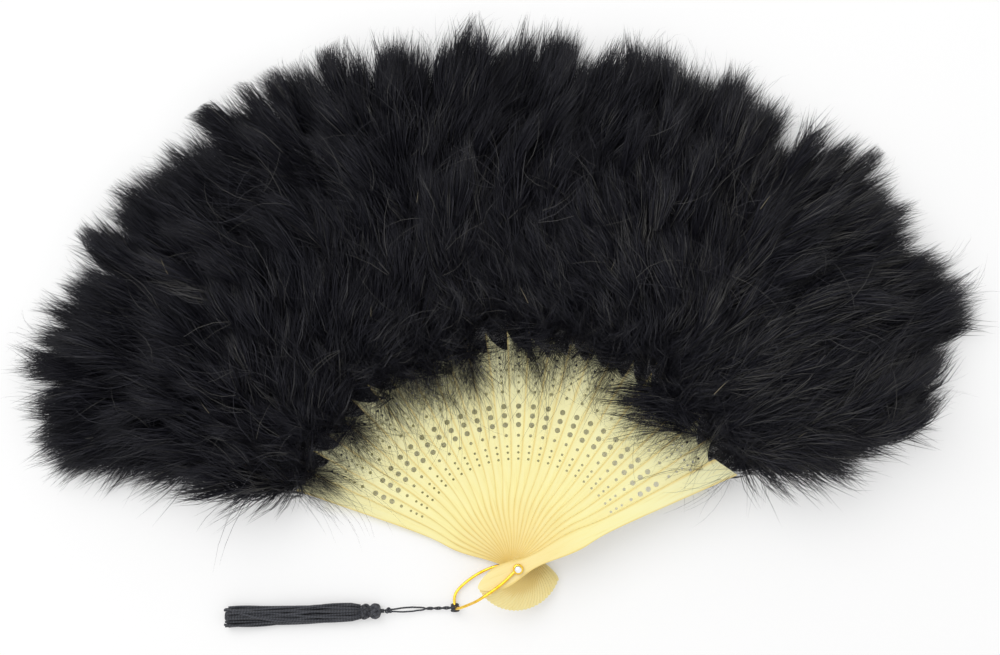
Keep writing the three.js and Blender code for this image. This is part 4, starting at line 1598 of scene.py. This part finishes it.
@dataclass
class Tassel:
    """The tassel with its hitch, doubled cord, knot, wound head and skirt. Lengths are in millimetres."""

    finish: Material
    strands: Strands
    bend: Span = (-33.098, -21.005)
    axis_height: float = 4.3
    bail_height: float = 3.4
    cord_radius: float = 0.45
    cord_start: float = 0.6
    cord_end: float = 32.4
    core_end: float = 72.0
    twist_end: float = 17.0
    twist_pitch: float = 8.5
    knot_station: float = 32.0
    knot_length: float = 4.2
    knot_radius: float = 1.35
    knot_depth: float = 0.75
    head_station: float = 36.5
    head_length: float = 12.4
    head_radius: float = 4.3
    head_thread: float = 0.36
    head_braid: float = 0.85
    head_knots: Span = (0.36, 0.78)
    head_profile: tuple[Span, ...] = (
        (0.0, 0.26), (0.15, 0.26), (0.19, 0.4), (0.27, 0.62), (0.42, 0.72), (0.6, 0.66), (0.70, 0.62),
        (0.83, 0.76), (1.0, 0.68),
    )
    head_turns: int = 26
    head_turn_steps: int = 18
    braid_leads: int = 3
    braid_bights: int = 5
    hitch_offsets: tuple[float, ...] = (-1.5, -0.5, 0.5, 1.5)
    hitch_tones: tuple[float, ...] = (0.4, 0.6, 0.3, 0.5)
    hitch_radius: float = 1.75
    hitch_lap: float = 0.15
    skirt_station: float = 48.4
    skirt_end: float = 118.4
    skirt_half_width: float = 4.7
    skirt_half_height: float = 3.7
    skirt_strands: int = 66
    skirt_radius: float = 0.6
    skirt_ragged: float = 1.9
    skirt_short: float = 3.5
    skirt_drift: float = 1.2
    outer_drift: float = 2.6
    outer_from: float = 0.93
    skirt_sway: float = 0.6
    seed: int = 99

    def _row(self, points: np.ndarray) -> np.ndarray:
        """Points along the tassel, from the bend of the bail, as points of the row frame in metres."""
        points = np.asarray(points, dtype=float)
        return np.stack([self.bend[0] - points[:, 0], self.bend[1] - points[:, 1], points[:, 2]], axis=1) * MM

    def build(self) -> list[Piece]:
        """Makes and mounts the tassel and its two cords."""
        radius = self.cord_radius * MM
        tones = np.array(self.hitch_tones)
        hitch = self.strands.sweep("tassel_hitch", self._hitch(), radius, self.finish, tones=tones)
        Workshop.mount(hitch, "bail", "tassel")
        knot = self._swept("tassel_knot_dressed", [self._knot()], self.cord_radius, "tassel_knot", 1)
        routes, girths = self._head()
        head = self._swept("tassel_head_dressed", routes, self.head_thread, "tassel_head", 2, girths=girths)
        skirt = self._swept("tassel_skirt_dressed", self._skirt(), self.skirt_radius, "tassel_skirt")
        cords = []
        for k, side in enumerate((-1.0, 1.0)):
            route = self._row(self._cord(side, self.core_end if k == 0 else self.cord_end))
            nodes = ("tassel_cord",) if k == 0 else ()
            tones = np.array([0.3 + 0.2 * k])
            cord = self.strands.sweep(f"tassel_cord_{k + 1}", [route], radius, self.finish, tones=tones)
            cords.append(Workshop.mount(cord, "tassel", "tassel", *nodes))
        return [hitch, knot, head, skirt, *cords]

    def _swept(
        self, name: str, routes: list[np.ndarray], radius: float, node: str, closed: int = 0,
        girths: list[np.ndarray] | None = None,
    ) -> Piece:
        """A piece of strands on the tassel in place of a CAD node.

        Args:
            name: Name of the piece.
            routes: Points of each strand along the tassel.
            radius: Radius of a strand of girth 1.
            node: The CAD node.
            closed: How many of the last routes join up into rings.
            girths: Share of the radius at each point of each route.

        Returns:
            The mounted piece.
        """
        rng = np.random.default_rng((self.seed, len(routes)))
        tones = rng.beta(1.4, 2.4, len(routes))
        rows = [self._row(r) for r in routes]
        piece = self.strands.sweep(name, rows, radius * MM, self.finish, closed, tones, girths)
        return Workshop.mount(piece, "tassel", "tassel", node)

    def _cord(self, side: float, end: float) -> np.ndarray:
        """Route of one of the two strands: twisted near the bail, side by side, then along the tassel's axis.

        Args:
            side: -1 or 1, for the side on which the strand lies.
            end: Station at which the strand ends.

        Returns:
            Points of the route along the tassel.
        """
        x = np.linspace(self.cord_start, end, 38)
        phase = 2 * math.pi * x / self.twist_pitch
        open_share = smoothstep(x, self.twist_end - 3, self.twist_end + 5)
        wide = side * (1.05 - 0.5 * smoothstep(x, 26, self.cord_end) - 0.55 * smoothstep(x, 32, 40))
        y = side * 0.5 * np.cos(phase) * (1 - open_share) + wide * open_share
        level = self.bail_height - 1.0 * smoothstep(x, 2, 14) + 1.9 * smoothstep(x, 18, self.cord_end)
        z = level + side * 0.5 * np.sin(phase) * (1 - open_share)
        return np.stack([x, y, z], axis=1)

    def _hitch(self) -> list[np.ndarray]:
        """Turns of the cord round the bend of the bail."""
        turns = []
        for k, offset in enumerate(self.hitch_offsets):
            angle = np.linspace(0.0, 2 * math.pi, 25)
            radius = self.hitch_radius + self.hitch_lap * (k % 2)
            x, slant, rise = radius * np.cos(angle), 0.18 * np.sin(angle), radius * np.sin(angle)
            route = np.stack([x, offset + slant, self.bail_height + rise], axis=1)
            turns.append(self._row(route))
        return turns

    def _knot(self) -> np.ndarray:
        """Closed route of the small overhand knot."""
        t = np.linspace(0.0, 2 * math.pi, 61)[:-1]
        x = (np.sin(t) + 2 * np.sin(2 * t)) / 3.0 * (self.knot_length / 2 - self.cord_radius)
        y = (np.cos(t) - 2 * np.cos(2 * t)) / 3.0 * self.knot_radius
        z = -np.sin(3 * t) * self.knot_depth
        return np.stack([self.knot_station + self.knot_length / 2 + x, y, self.axis_height + z], axis=1)

    def _head(self) -> tuple[list[np.ndarray], list[np.ndarray]]:
        """Routes of the head, thread wound on the neck and the foot and then the braids of its two knots.

        Returns:
            The routes, of which the last two are closed, and the girth along each.
        """
        u = np.linspace(0.0, 1.0, self.head_turns * self.head_turn_steps)
        angle = 2 * math.pi * u * self.head_turns
        radius = self.head_radius * np.interp(u, *zip(*self.head_profile)) - self.head_thread
        thread = np.stack([
            self.head_station + u * self.head_length,
            radius * np.cos(angle),
            np.maximum(self.axis_height + radius * np.sin(angle), self.head_thread),
        ], axis=1)
        turn = np.linspace(0.0, 2 * math.pi * self.braid_leads, 181)[:-1]
        swing = self.braid_bights * turn / self.braid_leads
        tilt = 0.95 * np.sin(swing)
        radius = self.head_radius - self.head_braid - 0.35 + 0.3 * np.cos(2 * swing + 0.8)
        routes, girths = [thread], [np.ones(len(thread))]
        for k, share in enumerate(self.head_knots):
            braid = np.stack([
                self.head_station + share * self.head_length + 0.85 * radius * np.sin(tilt),
                radius * np.cos(tilt) * np.cos(turn + k),
                self.axis_height + radius * np.cos(tilt) * np.sin(turn + k),
            ], axis=1)
            routes.append(braid)
            girths.append(np.full(len(braid), self.head_braid / self.head_thread))
        return routes, girths

    def _skirt(self) -> list[np.ndarray]:
        """Routes of the fine cords of the skirt."""
        rng = np.random.default_rng(self.seed)
        routes = []
        golden = math.pi * (3 - math.sqrt(5))
        for k in range(self.skirt_strands):
            far = math.sqrt((k + 0.5) / self.skirt_strands)
            angle = k * golden + rng.normal(0, 0.15)
            end = self.skirt_end - abs(rng.normal(0, self.skirt_ragged))
            end -= self.skirt_short if rng.uniform() < 0.1 else 0.0
            t = np.linspace(0.0, 1.0, 16)
            x = self.skirt_station + t * (end - self.skirt_station)
            swell = 0.72 + 0.22 * smoothstep(t, 0.0, 0.07) + 0.06 * smoothstep(t, 0.1, 0.5)
            drift = angle + rng.normal(0, self.skirt_drift if far < self.outer_from else self.outer_drift) * t
            phase = rng.uniform(0, 2 * math.pi, 2)
            sway = self.skirt_sway * smoothstep(t, 0.0, 0.3)
            aside, rise = (sway * np.sin(t * rng.uniform(4, 9) + start) for start in phase)
            y = far * self.skirt_half_width * swell * np.cos(drift) + aside
            z = far * self.skirt_half_height * swell * np.sin(drift) + rise
            z = np.maximum(self.axis_height + z, self.skirt_radius + 0.02)
            routes.append(np.stack([x, y, z], axis=1))
        return routes


@dataclass
class LinkingTape:
    """The ribbon under the sticks that holds them at their spacing. Lengths are in millimetres."""

    finish: Material
    station: float = 106.0
    width: float = 2.5
    thickness: float = 0.3
    gap: float = 0.3
    angles: Span = (math.radians(-3.2), math.radians(1.9))
    steps: int = 7
    section: tuple[Span, ...] = ((0.5, -1.0), (-0.5, -1.0), (-0.5, 0.0), (0.5, 0.0))

    def build(self, blades: list[Blade]) -> list[Piece]:
        """Makes a length of ribbon for each stick, so that it goes with the stick when the fan folds.

        Args:
            blades: Where the sticks sit.

        Returns:
            The lengths of ribbon.
        """
        pieces = []
        for blade in blades:
            top = blade.bottom - self.gap
            points = []
            for angle in np.linspace(*self.angles, self.steps):
                for radius, z in self.section:
                    far = self.station + radius * self.width
                    points.append((-far * math.sin(angle), far * math.cos(angle), top + z * self.thickness))
            name = f"linking_tape_{blade.index:02d}"
            faces = skin(self.steps, len(self.section))
            piece = Workshop.raw(name, blade.to_row(np.array(points)), None, faces)
            piece.data.materials.append(self.finish)
            nodes = ("linking_tape",) if blade.index == 0 else ()
            pieces.append(Workshop.mount(piece, blade.body, "tape", *nodes))
        return pieces


@dataclass
class Studio:
    """White paper floor, soft light from above and the camera over the fan."""

    floor_side: float = 6.0
    floor_drop: float = 0.0002
    sky_strength: float = 0.74
    key_place: tuple[float, float, float] = (-0.75, 0.95, 1.7)
    key_side: float = 1.5
    key_power: float = 19.0
    camera_place: tuple[float, float, float] = (-0.004, 0.1217, 1.1)
    camera_roll: float = math.radians(-2.4)
    lens: float = 76.9
    sensor_width: float = 36.0
    clip_start: float = 0.01
    target: tuple[float, float, float] = (0.0, 0.12, 0.0)

    def build(self) -> None:
        """Makes the camera, the light and the floor."""
        self._camera()
        self._sky()
        self._key()
        half = self.floor_side / 2
        corners = half * np.array([(-1.0, -1.0, 0.0), (1.0, -1.0, 0.0), (1.0, 1.0, 0.0), (-1.0, 1.0, 0.0)])
        floor = Workshop.raw("paper_floor", corners - (0, 0, self.floor_drop), None, [(0, 1, 2, 3)])
        floor.data.materials.append(FloorFinish().build())
        bpy.context.scene.view_settings.view_transform = "Standard"

    def _camera(self) -> None:
        """The camera straight above the fan, as in the photograph."""
        camera = bpy.data.objects.new("camera", bpy.data.cameras.new("camera"))
        camera.data.lens = self.lens
        camera.data.sensor_width = self.sensor_width
        camera.data.clip_start = self.clip_start
        roll = Matrix.Rotation(self.camera_roll, 4, "Z")
        camera.matrix_world = Matrix.Translation(self.camera_place) @ roll
        bpy.context.scene.collection.objects.link(camera)
        bpy.context.scene.camera = camera

    def _sky(self) -> None:
        """Even white light all round, at full white where it is seen or mirrored."""
        world = bpy.data.worlds.new("studio")
        bpy.context.scene.world = world
        world.use_nodes = True
        board = NodeBoard(world.node_tree)
        board.tree.nodes.clear()
        soft = board.add("ShaderNodeBackground", {"Color": WHITE, "Strength": self.sky_strength})
        full = board.add("ShaderNodeBackground", {"Color": WHITE, "Strength": 1.0})
        both = board.add("ShaderNodeMixShader", {0: board.seen(), 1: soft.outputs[0], 2: full.outputs[0]})
        board.add("ShaderNodeOutputWorld", {"Surface": both.outputs[0]})

    def _key(self) -> None:
        """A large soft box above the fan's left shoulder."""
        lamp = bpy.data.lights.new("soft_box", "AREA")
        lamp.size = self.key_side
        lamp.energy = self.key_power
        box = bpy.data.objects.new("soft_box", lamp)
        place = Vector(self.key_place)
        aim = (Vector(self.target) - place).to_track_quat("-Z", "Y")
        box.matrix_world = Matrix.Translation(place) @ aim.to_matrix().to_4x4()
        bpy.context.scene.collection.objects.link(box)


def main() -> None:
    """Builds the studio and then the fan, from the tassel to the plumes."""
    logging.basicConfig(level=logging.INFO, format="%(name)s: %(message)s")
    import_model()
    Studio().build()
    blades = Layout().blades()
    strands = Strands()
    Tassel(SatinFinish().build(), strands).build()
    gold = MetalFinish("gold_wire", (0.96, 0.66, 0.09), (0.86, 0.47, 0.02), (0.16, 0.30))
    silver = MetalFinish("bright_steel", (0.93, 0.93, 0.94), (0.80, 0.81, 0.83), (0.08, 0.22))
    Bail(gold.build(), strands).build()
    Rivet(silver.build()).build()
    Sticks(IvoryFinish().build()).build(blades)
    LinkingTape(RibbonFinish().build()).build(blades)
    locks = Locks()
    Plumes(DownFinish().build(), locks).build(blades)
    locks.clear()


if __name__ == "__main__":
    main()
